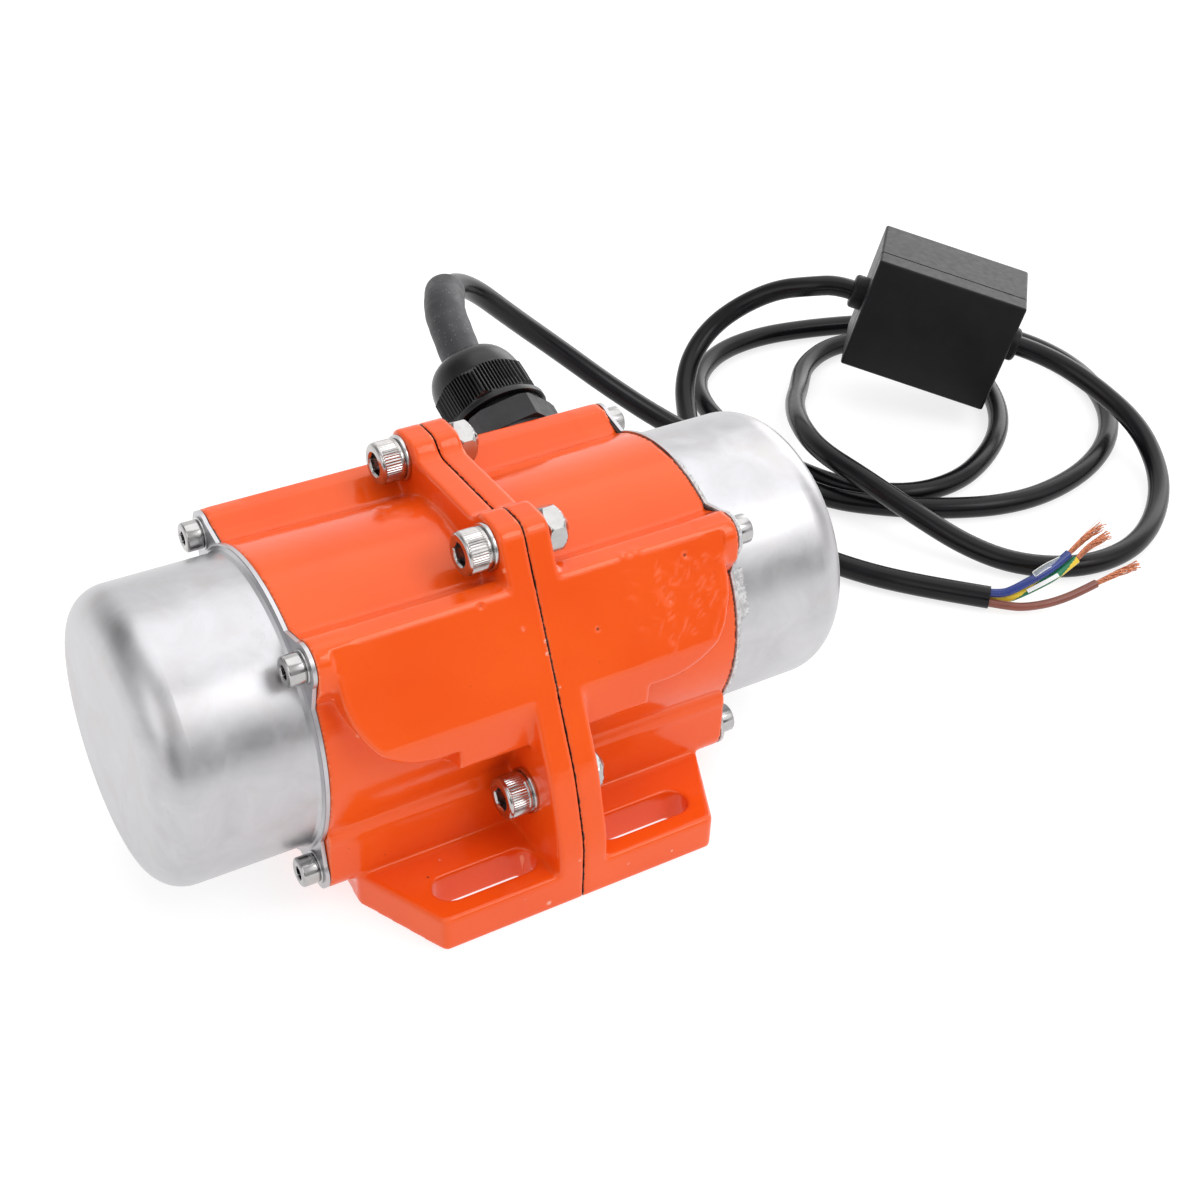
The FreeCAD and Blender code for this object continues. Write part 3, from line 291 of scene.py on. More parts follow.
def metal_look(name, colour, roughness, scale=2.0, stretch=(1, 1, 1), dirt=0.15, depth=0.02):
    look = Look(name, colour, metallic=1.0, roughness=roughness)
    place = look.stretched(*stretch)
    grain = look.noise(scale, 3.0, 0.6, place)
    dark = tuple(c * (1 - dirt) for c in colour)
    light = tuple(min(1.0, c * (1 + dirt * 0.4)) for c in colour)
    look.colour(look.mix(look.span(grain, 0.3, 0.7), dark, light))
    look.rough(look.span(grain, 0.3, 0.7, roughness * 0.75, roughness * 1.3))
    look.bump((grain, depth, 0.4))
    return look.material


def plastic_look(name, colour, roughness, grain_scale=4.0, depth=0.03, variation=0.25, specks=0.0, **sockets):
    look = Look(name, colour, roughness=roughness, **sockets)
    broad = look.noise(0.12, 3.0)
    grain = look.noise(grain_scale, 2.0, 0.6)
    dark = tuple(c * (1 - variation) for c in colour)
    light = tuple(c * (1 + variation) for c in colour)
    base = look.mix(look.span(broad, 0.3, 0.7), dark, light)
    if specks:
        dots = look.span(look.cells(0.9), 0.10, 0.17, 1.0, 0.0)
        dots = look.times(dots, look.span(look.noise(0.11), 0.47, 0.60))
        base = look.mix(look.times(dots, specks), base, (0.30, 0.30, 0.29))
    look.colour(base)
    look.rough(look.span(look.noise(0.5, 3.0), 0.3, 0.7, roughness * 0.88, roughness * 1.14))
    look.bump((grain, depth, 0.5))
    return look.material


PAINT = paint_look()
CAP_STEEL = cap_look()
BRIGHT = metal_look("bright_steel", (0.47, 0.465, 0.46), 0.11, 0.5, dirt=0.10, depth=0.004)
SOCKET = metal_look("screw_steel", (0.50, 0.48, 0.47), 0.17, 0.6, dirt=0.14, depth=0.005)
WASHER = metal_look("washer_steel", (0.56, 0.56, 0.56), 0.16, 0.8, dirt=0.15, depth=0.005)
SATIN = metal_look("turned_steel", (0.52, 0.52, 0.53), 0.34, 3.0, (6, 1, 1), dirt=0.2)
LAMINATED = metal_look("laminated_steel", (0.30, 0.30, 0.32), 0.45, 1.6, (14, 0.3, 0.3), dirt=0.45, depth=0.08)
ALUMINIUM = metal_look("cast_aluminium", (0.74, 0.74, 0.76), 0.42, 1.4, dirt=0.18, depth=0.06)
COPPER_WIRE = metal_look("winding_copper", (0.62, 0.27, 0.12), 0.33, 1.2, (0.5, 4, 4), dirt=0.3, depth=0.12)
STRANDS = metal_look("bare_copper", (0.66, 0.26, 0.145), 0.27, 1.3, dirt=0.4)
NYLON = plastic_look("black_nylon", (0.005, 0.005, 0.006), 0.27, 3.0, 0.008, 0.3, Specular_IOR_Level=0.42)
NYLON_MATT = plastic_look("black_nylon_matt", (0.012, 0.012, 0.014), 0.5, 3.5, 0.08, 0.35)
RUBBER = plastic_look("black_rubber", (0.022, 0.022, 0.024), 0.55, 3.0, 0.05, 0.3)
SLEEVE = plastic_look("sleeve_rubber", (0.030, 0.030, 0.034), 0.50, 3.0, 0.06, 0.3, specks=0.5)
SHEATH = plastic_look("cord_sheath", (0.004, 0.004, 0.005), 0.24, 1.2, 0.004, 0.35,
                      Specular_IOR_Level=0.24)
BOX = plastic_look("box_plastic", (0.005, 0.005, 0.006), 0.38, 4.0, 0.02, 0.25, Specular_IOR_Level=0.23)
# Painted shadow: black with no shine, for the shade in the joint between the box and its lid.
JOINT_SHADOW = plastic_look("box_joint_shadow", (0.002, 0.002, 0.002), 0.9, Specular_IOR_Level=0.0)
FILM = plastic_look("capacitor_case", (0.62, 0.60, 0.50), 0.4, 1.0, 0.03, 0.1)
BLUE = plastic_look("blue_insulation", (0.008, 0.028, 0.20), 0.28, 1.4, 0.03, 0.2, Coat_Weight=0.2)
BROWN = plastic_look("brown_insulation", (0.20, 0.055, 0.035), 0.32, 1.4, 0.03, 0.2, Coat_Weight=0.15)
YELLOW = plastic_look("yellow_insulation", (0.86, 0.60, 0.035), 0.30, 1.4, 0.03, 0.1, Coat_Weight=0.2)
GREEN = plastic_look("green_insulation", (0.010, 0.19, 0.085), 0.30, 1.4, 0.03, 0.15, Coat_Weight=0.2)
FILLER = plastic_look("white_filler", (0.86, 0.86, 0.86), 0.30, 1.0, 0.05, 0.05)
FILM_CLEAR = plastic_look("clear_film", (0.70, 0.76, 0.76), 0.18, 1.0, 0.05, 0.05, Alpha=0.20)


# Mesh helpers

def finish_mesh(name, mesh, material, sharp=30.0):
    """Piece of the motor's body with smooth faces, split at edges sharper than an angle in degrees."""
    mesh.materials.clear()
    mesh.materials.append(material)
    mesh.validate()
    for polygon in mesh.polygons:
        polygon.use_smooth = True
    if sharp is not None:
        mesh.set_sharp_from_angle(angle=math.radians(sharp))
    made = bpy.data.objects.new(name, mesh)
    SCENE.collection.objects.link(made)
    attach(made, "motor")
    return made


def band_faces(rows, count, closed=False):
    """Faces between rows of count vertices that go round. If closed, the last row meets the first."""
    faces = []
    for i in range(rows if closed else rows - 1):
        j = (i + 1) % rows
        for k in range(count):
            n = (k + 1) % count
            faces.append((i * count + k, i * count + n, j * count + n, j * count + k))
    return faces


def end_faces(rows, count):
    last = (rows - 1) * count
    return [tuple(reversed(range(count))), tuple(last + k for k in range(count))]


def ring_verts(rings, place, count):
    """Places on rings about a line. rings: (height, radius or function of the angle)."""
    verts = []
    for height, radius in rings:
        for k in range(count):
            angle = 2 * math.pi * k / count
            r = radius(angle) if callable(radius) else radius
            verts.append(place(height, r * math.cos(angle), r * math.sin(angle)))
    return verts


def spun(rings, place, count):
    """A form spun about a line, closed by a flat face at both ends."""
    faces = band_faces(len(rings), count) + end_faces(len(rings), count)
    return ring_verts(rings, place, count), faces


def closed_ring(rings, place, count):
    """A spun form whose last ring meets its first, such as a washer."""
    return ring_verts(rings, place, count), band_faces(len(rings), count, closed=True)


def joined(parts):
    verts, faces = [], []
    for v, f in parts:
        offset = len(verts)
        verts += v
        faces += [tuple(i + offset for i in face) for face in f]
    return verts, faces


def mesh_of(name, verts, faces):
    mesh = bpy.data.meshes.new(name)
    mesh.from_pydata([tuple(v) for v in verts], [], faces)
    work = bmesh.new()
    work.from_mesh(mesh)
    bmesh.ops.recalc_face_normals(work, faces=work.faces)
    work.to_mesh(mesh)
    work.free()
    return mesh


def frames_along(points):
    """Directions and turning-free side vectors at each point of a line."""
    count = len(points)
    ways = []
    for i in range(count):
        ways.append((points[min(i + 1, count - 1)] - points[max(i - 1, 0)]).normalized())
    side = ways[0].orthogonal().normalized()
    sides = [side]
    for i in range(1, count):
        turn = ways[i - 1].rotation_difference(ways[i])
        side = (turn @ side)
        side = (side - ways[i] * side.dot(ways[i])).normalized()
        sides.append(side)
    return ways, sides


def tube_verts(points, rings, count):
    """Places on rings round a line. rings: (index of the point, radius or function of the angle)."""
    ways, sides = frames_along(points)
    verts = []
    for i, radius in rings:
        other = ways[i].cross(sides[i])
        for k in range(count):
            angle = 2 * math.pi * k / count
            r = radius(angle) if callable(radius) else radius
            verts.append(points[i] + sides[i] * (r * math.cos(angle)) + other * (r * math.sin(angle)))
    return verts


def swept(points, radius, count):
    """Tube round a line, closed by a flat face at both ends."""
    verts = tube_verts(points, [(i, radius) for i in range(len(points))], count)
    return verts, band_faces(len(points), count) + end_faces(len(points), count)


def resampled(points, count):
    """The same line at evenly spaced places."""
    reach = [0.0]
    for a, b in zip(points, points[1:]):
        reach.append(reach[-1] + (b - a).length)
    made = []
    j = 0
    for k in range(count):
        want = reach[-1] * k / (count - 1)
        while j < len(points) - 2 and reach[j + 1] < want:
            j += 1
        share = (want - reach[j]) / max(reach[j + 1] - reach[j], 1e-12)
        made.append(points[j].lerp(points[j + 1], min(share, 1.0)))
    return made


# Cords

POWER_ROUTE = [
    (32.8, 56.0, 70.0), (32.8, 73.6, 78.9), (41.0, 91.6, 79.7), (54.7, 103.8, 72.1), (70.7, 105.9, 56.9),
    (84.3, 102.8, 44.9), (97.0, 95.2, 33.6), (110.0, 83.9, 23.6), (123.0, 71.6, 16.4), (136.0, 60.8, 10.4),
    (148.0, 51.0, 3.9), (162.0, 39.6, 3.3), (177.8, 29.6, 3.3), (195.4, 23.0, 3.3), (213.8, 22.6, 3.3),
    (234.8, 28.2, 3.3), (253.7, 39.8, 3.3), (268.0, 57.4, 3.3), (274.7, 78.3, 3.3), (272.9, 98.6, 3.3),
    (263.1, 116.4, 3.3), (247.5, 129.4, 3.3), (229.1, 138.0, 3.3), (209.3, 144.0, 3.3), (190.0, 147.0, 3.3),
    (170.7, 143.5, 3.3), (153.8, 131.1, 3.3), (146.0, 112.7, 3.3), (145.4, 90.9, 3.3), (149.5, 70.0, 3.3),
    (157.8, 52.4, 3.3), (172.2, 41.1, 3.3), (190.5, 40.2, 3.3), (207.7, 47.4, 3.3), (222.9, 58.2, 3.3),
    (234.5, 72.8, 3.3), (242.6, 92.2, 3.3), (241.5, 110.0, 3.3), (229.5, 125.0, 3.3), (211.0, 130.5, 3.3),
    (192.6, 123.1, 3.3), (180.7, 109.5, 4.0), (168.2, 95.7, 8.5), (156.4, 77.7, 13.5), (151.5, 61.0, 14.4),
    (153.8, 42.1, 14.2), (159.1, 25.2, 10.5), (167.4, 9.6, 5.2), (176.2, -2.9, 3.3), (190.0, -12.2, 3.3),
    (206.5, -13.8, 3.3), (222.6, -8.5, 3.3), (239.7, 3.7, 3.3), (250.4, 16.5, 5.5), (255.6, 32.2, 10.8),
    (251.8, 50.3, 17.0), (243.687, 63.908, 22.546), (236.507, 70.511, 24.744)]
LEAD_ROUTE = [
    (196.294, 107.489, 37.056), (192.703, 110.791, 38.155), (186.2, 115.1, 37.3), (178.6, 123.1, 34.4),
    (169.4, 128.7, 28.8), (158.9, 130.3, 22.7), (149.1, 127.0, 16.1), (141.9, 119.8, 10.4), (137.1, 110.8, 6.2),
    (131.0, 97.5, 3.3), (126.2, 82.0, 3.3), (123.3, 65.5, 3.3), (122.8, 48.0, 3.3), (126.0, 30.6, 3.3),
    (134.6, 14.2, 3.3), (146.2, 0.2, 3.3), (158.3, -11.8, 3.3)]
BLUE_ROUTE = [(158.3, -11.8, 4.9), (160.6, -14.2, 5.3), (163.6, -15.6, 6.8), (167.8, -16.5, 8.7),
              (172.6, -17.0, 10.2), (177.4, -16.8, 11.8), (181.4, -16.3, 13.4)]
GREEN_ROUTE = [(159.3, -10.8, 2.5), (162.5, -14.1, 2.6), (166.7, -16.1, 4.9), (171.7, -17.3, 6.9),
               (176.1, -17.9, 8.5), (180.3, -17.9, 10.5), (183.2, -18.0, 12.0)]
BROWN_ROUTE = [(157.3, -12.8, 2.5), (160.5, -16.1, 2.5), (164.1, -18.7, 2.3), (168.6, -20.7, 2.7),
               (173.4, -22.2, 3.3), (180.0, -23.2, 4.4), (186.6, -23.8, 6.1)]
STRAND_ROUTES = [
    [(186.6, -23.8, 6.1), (191.4, -24.2, 7.0), (196.6, -24.5, 7.9), (200.8, -25.2, 8.8)],
    [(181.4, -16.3, 13.4), (186.5, -14.8, 14.3), (192.3, -13.3, 15.2), (197.4, -12.6, 16.1)],
    [(183.2, -18.0, 12.0), (188.1, -16.4, 12.9), (192.5, -15.9, 13.8), (197.3, -15.7, 14.7)]]
CORD_RADIUS = 3.2
SLEEVE_RADIUS = 5.35
SLEEVE_LENGTH = 37.0
SLEEVE_ROWS = 70
SLEEVE_LEAN = 0.9


def nurbs(name, points, radius, material=None):
    data = bpy.data.curves.new(name, "CURVE")
    data.dimensions = "3D"
    data.resolution_u = 10
    data.bevel_depth = radius * MM
    data.bevel_resolution = 10
    data.use_fill_caps = True
    spline = data.splines.new("NURBS")
    spline.points.add(len(points) - 1)
    for control, place in zip(spline.points, points):
        control.co = (*mm(*place), 1)
    spline.order_u = 3
    spline.use_endpoint_u = True
    if material:
        data.materials.append(material)
    made = bpy.data.objects.new(name, data)
    SCENE.collection.objects.link(made)
    return made


def line_of(points):
    """Places along the smooth line of a route."""
    curve = nurbs("route", points, 0.0)
    bpy.context.view_layer.update()
    mesh = bpy.data.meshes.new_from_object(curve)
    found = [v.co.copy() for v in mesh.vertices]
    data = curve.data
    bpy.data.objects.remove(curve)
    bpy.data.curves.remove(data)
    bpy.data.meshes.remove(mesh)
    return found


power_cord = nurbs("power_cord_sheath", POWER_ROUTE, CORD_RADIUS, SHEATH)
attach(power_cord, "motor")
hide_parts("power_cord")
lead_cord = nurbs("lead_cord_sheath", LEAD_ROUTE, CORD_RADIUS, SHEATH)
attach(lead_cord, "motor")
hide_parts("lead_cord")
POWER_LINE = line_of(POWER_ROUTE)
LEAD_LINE = line_of(LEAD_ROUTE)


def first_stretch(points, length):
    """The line up to a length along it."""
    made = [points[0]]
    done = 0.0
    for a, b in zip(points, points[1:]):
        step = (b - a).length
        if done + step >= length:
            made.append(a.lerp(b, (length - done) / step))
            break
        done += step
        made.append(b)
    return made


def make_sleeve():
    """Thick rubber sleeve over the start of the power cord, open at its far end. It leans with the nut."""
    points = resampled(first_stretch(POWER_LINE, SLEEVE_LENGTH * MM), SLEEVE_ROWS)
    last = SLEEVE_ROWS - 1
    for i, point in enumerate(points):
        share = i / last
        point.x -= SLEEVE_LEAN * MM * (1 - share) ** 2 * (1 + 2 * share)

    def uneven(i, radius):
        along = 0.006 * math.sin(i * 0.6)
        return lambda angle: radius * (1 + 0.012 * math.sin(3 * angle + i * 0.21) + along) * MM

    rings = [(i, uneven(i, SLEEVE_RADIUS)) for i in range(last - 1)]
    rings += [(last - 1, uneven(last - 1, SLEEVE_RADIUS - 0.03)), (last, uneven(last, SLEEVE_RADIUS - 0.35))]
    rings += [(last, (CORD_RADIUS + 0.45) * MM), (last - 1, (CORD_RADIUS + 0.2) * MM)]
    rings += [(i, (CORD_RADIUS + 0.15) * MM) for i in range(last - 2, -1, -1)]
    count = 48
    faces = band_faces(len(rings), count, closed=True)
    mesh = mesh_of("rubber_sleeve", tube_verts(points, rings, count), faces)
    made = finish_mesh("rubber_sleeve", mesh, SLEEVE, 40)
    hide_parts("cable_sleeve")
    return made


sleeve = make_sleeve()


# Screws, nuts and washers

def hex_radius(apothem, turn=0.0):
    return lambda angle: apothem / math.cos((angle + turn) % (math.pi / 3) - math.pi / 6)


FLANGE_FACE, FLANGE_SEAT = 6.3, 7.3
EAR_FACE, EAR_SEAT = 53.1, 53.6
FLANGE_SCREW = dict(head_radius=5.0, head=6.0, shank_radius=3.0, length=20.0, socket=5.0, knurled=True)
CAP_SCREW = dict(head_radius=3.5, head=4.0, shank_radius=2.0, length=10.0, socket=3.0, knurled=False)
NUT_ACROSS, NUT_HEIGHT, NUT_BORE = 10.0, 5.0, 3.0
NUT_FOOT, NUT_CROWN, NUT_STEPS = 1.3, 1.9, 8
KNURLS = 48


def socket_screw(x_under, way, y, rise, head_radius, head, shank_radius, length, socket, knurled):
    """Socket head screw on a line along X. way is the direction of its shank."""
    def place(h, a, b):
        return mm(x_under - way * h, y + a, AXIS_Z + rise + b)

    def knurl(radius, depth):
        return lambda angle: radius - depth * (0.5 - 0.5 * math.cos(KNURLS * angle))

    apothem = socket / 2
    chamfer = apothem * 1.19
    r, s = head_radius, shank_radius
    rings = [(-length, s * 0.55), (-length, s * 0.72), (-length + s * 0.28, s), (0.0, s),
             (0.0, r - 0.32), (0.10, r - 0.12), (0.3, r - 0.02), (head * 0.16, r - 0.02)]
    if knurled:
        band, edge = knurl(r, 0.20), knurl(r - 0.06, 0.10)
        rings += [(head * 0.19, edge), (head * 0.22, band), (head * 0.80, band), (head * 0.83, edge)]
    rings += [(head * 0.86, r - 0.02), (head * 0.90, r - 0.07), (head * 0.94, r - 0.20),
              (head * 0.975, r - 0.42), (head, r - 0.72), (head, chamfer + 0.12), (head - 0.06, chamfer),
              (head - (chamfer - apothem) * 0.9, hex_radius(apothem)), (head * 0.46, hex_radius(apothem)),
              (head * 0.45, hex_radius(apothem * 0.98)), (head * 0.38, apothem * 0.35)]
    return spun(rings, place, 240)


def hex_nut(y, rise):
    """Nut on the right face of the flange, with rounded corners at both ends."""
    def place(h, a, b):
        return mm(FLANGE_FACE + h, y + a, AXIS_Z + rise + b)

    apothem = NUT_ACROSS / 2
    hexagon = hex_radius(apothem, math.pi / 6)

    def limited(limit):
        return lambda angle: min(hexagon(angle), limit)

    foot, crown = [], []
    for step in range(NUT_STEPS + 1):
        turn = step / NUT_STEPS * math.pi / 2
        foot.append((NUT_FOOT * step / NUT_STEPS, limited(apothem * 0.965 + 0.92 * math.sin(turn))))
        crown.append((NUT_HEIGHT - NUT_CROWN + NUT_CROWN * step / NUT_STEPS,
                      limited(apothem * 0.90 + 1.25 * math.cos(turn))))
    thread = [(NUT_HEIGHT, NUT_BORE + 0.75), (NUT_HEIGHT - 0.5, NUT_BORE + 0.05), (0.5, NUT_BORE + 0.05),
              (0.0, NUT_BORE + 0.5)]
    return closed_ring(foot + crown + thread, place, 144)


def washer(x0, x1, y, rise, outer, inner):
    def place(h, a, b):
        return mm(h, y + a, AXIS_Z + rise + b)

    low, high = min(x0, x1), max(x0, x1)
    t = (high - low) * 0.22
    rings = [(low, inner + t), (low, outer - t), (low + t * 0.3, outer - t * 0.3), (low + t, outer),
             (high - t, outer), (high - t * 0.3, outer - t * 0.3), (high, outer - t), (high, inner + t),
             (high - t, inner), (low + t, inner)]
    return closed_ring(rings, place, 72)


BOLT_PLACES = [(-20.8, 38.6), (20.8, 38.6), (-39.9, -16.0), (39.9, -16.0)]
EAR_PLACES = [(-28.0, 28.0), (28.0, 28.0), (-28.0, -28.0), (28.0, -28.0)]


def stand_in(name, parts, look, sharp, node):
    """Piece built from parts, in the place of a node."""
    made = finish_mesh(name, mesh_of(node, *joined(parts)), look, sharp)
    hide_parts(node)


def make_fasteners():
    screws = [socket_screw(-FLANGE_SEAT, 1, y, z, **FLANGE_SCREW) for y, z in BOLT_PLACES]
    stand_in("flange_screws_knurled", screws, SOCKET, 32, "flange_bolts")
    washers = [washer(-FLANGE_SEAT, -FLANGE_FACE, y, z, 5.5, 3.2) for y, z in BOLT_PLACES]
    stand_in("flange_washers_round", washers, WASHER, 40, "flange_washers")
    stand_in("flange_nuts_chamfered", [hex_nut(y, z) for y, z in BOLT_PLACES], BRIGHT, 22, "flange_nuts")
    for side, label in ((-1, "left"), (1, "right")):
        screws = [socket_screw(side * EAR_SEAT, -side, y, z, **CAP_SCREW) for y, z in EAR_PLACES]
        stand_in(label + "_cap_screws_smooth", screws, BRIGHT, 32, label + "_cap_screws")
        washers = [washer(side * EAR_FACE, side * EAR_SEAT, y, z, 3.9, 2.2) for y, z in EAR_PLACES]
        stand_in(label + "_cap_washers_round", washers, WASHER, 40, label + "_cap_washers")


make_fasteners()


# Housing halves: softly rounded castings grown from the two exact halves

VOXEL, BARREL_DRAFT, END_GROWTH = 0.42, 0.72, 0.24
PLAIN_STEPS, FILL_STEPS, LAST_STEPS = 2, 9, 3
KEPT_SHARE = 0.35
# Outward direction of the sloping pads
PAD_OUT, PAD_UP = 0.8975, 0.441
FLECKS, FLECK_SEED, FLECK_WIDTH = 64, 23, 0.58
GASKET_SHARE = 0.984


def smooth_steps(co, edges, faces, weight):
    """Rounds all corners a little, then fills the inner corners as a casting radius does."""
    count = len(co)
    a, b = edges[:, 0], edges[:, 1]
    degree = np.bincount(a, minlength=count) + np.bincount(b, minlength=count)

    def average(values):
        out = np.empty_like(values)
        for axis in range(3):
            out[:, axis] = np.bincount(a, values[b, axis], count) + np.bincount(b, values[a, axis], count)
        return out / degree[:, None]

    def normals(values):
        p = values[faces]
        n = np.cross(p[:, 2] - p[:, 0], p[:, 3] - p[:, 1])
        out = np.zeros_like(values)
        for corner in range(4):
            for axis in range(3):
                out[:, axis] += np.bincount(faces[:, corner], n[:, axis], count)
        return out / np.maximum(np.linalg.norm(out, axis=1), 1e-12)[:, None]

    for step in range(PLAIN_STEPS):
        co = co + 0.5 * weight[:, None] * (average(co) - co)
    for step in range(FILL_STEPS):
        n = normals(co) if step % 4 == 0 else n
        outward = ((average(co) - co) * n).sum(1)
        co = co + (0.9 * weight * np.maximum(outward - 2e-6, 0.0))[:, None] * n
    for step in range(LAST_STEPS):
        co = co + 0.4 * weight[:, None] * (average(co) - co)
    return co


RIDGE_SPAN = (5.0, 50.8)
RIDGE_CREST = [(19.0, 28.9), (26.0, 33.0), (30.3, 33.0), (30.0, 30.0), (22.0, 25.0)]


def with_crests(mesh, side):
    """Carries the crest of the upper ear along both upper ridges up to the flange."""
    work = bmesh.new()
    work.from_mesh(mesh)
    for way in (-1, 1):
        rows = [[work.verts.new(mm(side * x, way * y, AXIS_Z + rise)) for y, rise in RIDGE_CREST]
                for x in RIDGE_SPAN]
        count = len(RIDGE_CREST)
        work.faces.new(rows[0])
        work.faces.new(rows[1])
        for k in range(count):
            n = (k + 1) % count
            work.faces.new((rows[0][k], rows[0][n], rows[1][n], rows[1][k]))
    bmesh.ops.recalc_face_normals(work, faces=work.faces)
    work.to_mesh(mesh)
    work.free()


def add_rough_patch(rise, x, y, z):
    """Soft waves and small seeded flecks on the front pad of the right half."""
    front = y < -28.5
    share = np.clip((x - 12.0) / 10, 0, 1) * np.clip((47.5 - x) / 4, 0, 1)
    share = share * np.clip((z - 48.0) / 6, 0, 1) * np.clip((70.0 - z) / 3, 0, 1)
    share = share * front * (z < 71.5)
    for i in np.nonzero(share > 0.02)[0]:
        rise[i] += 0.12 * share[i] * noise.noise(Vector((x[i] * 0.36 + z[i] * 0.20, 4.0, z[i] * 0.46)))
    draw = np.random.RandomState(FLECK_SEED)
    for _ in range(FLECKS):
        px, pz = 46.5 - 20.0 * draw.uniform() ** 1.3, draw.uniform(50.5, 68.0)
        turn = math.radians(draw.uniform(25, 70))
        height = draw.uniform(0.06, 0.20) * draw.choice([1, -1])
        along = (x - px) * math.cos(turn) + (z - pz) * math.sin(turn)
        across = (z - pz) * math.cos(turn) - (x - px) * math.sin(turn)
        fleck = np.exp(-(along / draw.uniform(0.8, 1.5)) ** 2 - (across / FLECK_WIDTH) ** 2)
        rise += height * front * fleck


def casting_relief(co, normal, side):
    """Draft of the barrel, end faces drawn over half of the gasket, and small marks of the mould."""
    x, y, z = (co / MM).T
    reach = np.hypot(y, z - AXIS_Z)
    radial = np.stack([np.zeros_like(x), y / reach, (z - AXIS_Z) / reach], 1)
    share = np.clip((reach - 33.2) / 1.2, 0, 1) * np.clip((38.5 - reach) / 2.5, 0, 1)
    share = share * np.clip((np.abs(x) - 9.0) / 42.0, 0, 1)
    co = co + radial * (BARREL_DRAFT * MM * share)[:, None]
    co[np.abs(x) > 51.45, 0] += side * END_GROWTH * MM

    # The upper ear's boss is drawn back to the pad's sloping plane
    proud = (np.abs(y) - 24.9 - (44.7 - z + AXIS_Z) * 25.4 / 51.7) * PAD_OUT
    proud = np.clip(proud, 0, 3) * (z - AXIS_Z > 18.0) * (np.abs(x) > 38.0)
    proud = proud * np.clip((48.6 - np.abs(x)) / 0.7, 0, 1)
    co[:, 1] -= proud * MM * PAD_OUT * np.sign(y)
    co[:, 2] -= proud * MM * PAD_UP

    rise = np.zeros_like(x)
    for px, py, pz, radius, height in PITS:
        away = np.sqrt((x - px) ** 2 + (y - py) ** 2 + (z - pz) ** 2)
        rise += height * np.exp(-(away / radius) ** 2)
    away = np.sqrt((x + 15.9) ** 2 + (y - 11.0) ** 2 + (z - 73.2) ** 2)
    rise += 0.11 * np.exp(-((away - 2.1) / 0.42) ** 2)
    if side > 0:
        add_rough_patch(rise, x, y, z)
    return co + normal * (rise * MM)[:, None]


def evaluated(work):
    """Mesh of an object with its modifiers."""
    bpy.context.view_layer.update()
    graph = bpy.context.evaluated_depsgraph_get()
    return bpy.data.meshes.new_from_object(work.evaluated_get(graph))


def values_of(items, key, width, kind=float):
    out = np.empty(len(items) * width, kind)
    items.foreach_get(key, out)
    return out.reshape(-1, width)


def soft_casting(label, side):
    """Softened copy of one exact half, thinned to a share of its faces."""
    node, name = "housing_%s_half" % label, "housing_%s_casting" % label
    work = bpy.data.objects.new(name + "_work", NODES[node].data.copy())
    with_crests(work.data, side)
    SCENE.collection.objects.link(work)
    weld = work.modifiers.new("weld", "WELD")
    weld.merge_threshold = 1e-6
    remesh = work.modifiers.new("remesh", "REMESH")
    remesh.mode = "VOXEL"
    remesh.voxel_size = VOXEL * MM
    mesh = evaluated(work)
    co = values_of(mesh.vertices, "co", 3)
    edges = values_of(mesh.edges, "vertices", 2, int)
    corners = [p.vertices for p in mesh.polygons]
    faces = np.array([(v[0], v[1], v[2], v[-1]) for v in corners])
    x, y, z = (co / MM).T
    weight = np.ones(len(co))
    weight[(np.hypot(y, z - AXIS_Z) < 31.6) & (np.abs(x) < 51.4)] = 0.25
    weight[np.abs(x) > 50.9] = 0.12
    for by, bz in BOLT_PLACES:
        near = np.hypot(y - by, z - AXIS_Z - bz) < 6.6
        weight[near & (np.abs(x) < 14.0)] = 0.35
    co = smooth_steps(co, edges, faces, weight)
    mesh.vertices.foreach_set("co", co.ravel())
    mesh.update()
    co = casting_relief(co, values_of(mesh.vertex_normals, "vector", 3), side)
    mesh.vertices.foreach_set("co", co.ravel())
    mesh.update()
    work.modifiers.clear()
    work.data = mesh
    thin = work.modifiers.new("thin", "DECIMATE")
    thin.ratio = KEPT_SHARE
    final = evaluated(work)
    bpy.data.objects.remove(work)
    made = finish_mesh(name, final, PAINT, None)
    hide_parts(node)


def make_gasket(label):
    """Gasket drawn in a little behind the lip, so that only a thin line of it is seen."""
    node = label + "_cap_gasket"
    mesh = NODES[node].data.copy()
    for vertex in mesh.vertices:
        vertex.co.y *= GASKET_SHARE
        vertex.co.z = AXIS_Z * MM + (vertex.co.z - AXIS_Z * MM) * GASKET_SHARE
    made = finish_mesh(node + "_thin", mesh, RUBBER, 30)
    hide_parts(node)


for half, way in (("left", -1), ("right", 1)):
    soft_casting(half, way)
    make_gasket(half)


# Carried over nodes and their finishes

FINISHES = [
    (NYLON_MATT, ["gland_body"]), (RUBBER, ["gland_o_ring"]), (SHEATH, ["motor_lead"]), (FILM, ["capacitor"]),
    (BOX, ["capacitor_box", "box_lid", "box_grommet_left", "box_grommet_right"]), (CAP_STEEL, ["end_cap"]),
    (LAMINATED, ["stator_core", "rotor_core"]), (COPPER_WIRE, ["stator_winding"]),
    (ALUMINIUM, ["rotor_end_rings"]), (WASHER, ["bearing_preload_washer", "bearing_shim"]),
    (SATIN, ["shaft", "weight_spacer", "inner_weight", "outer_weight", "retaining_ring", "bearing_cage"]),
    (SOCKET, ["inner_weight_bolt", "outer_weight_bolt"]),
    (BRIGHT, ["bearing_outer_ring", "bearing_inner_ring", "bearing_balls"])]

for finish, names in FINISHES:
    for node in [label + name for name in names for label in ("", "left_", "right_")]:
        if node in NODES:
            NODES[node].data.materials.clear()
            NODES[node].data.materials.append(finish)


# Wires, twisted strands and filler at the bare end

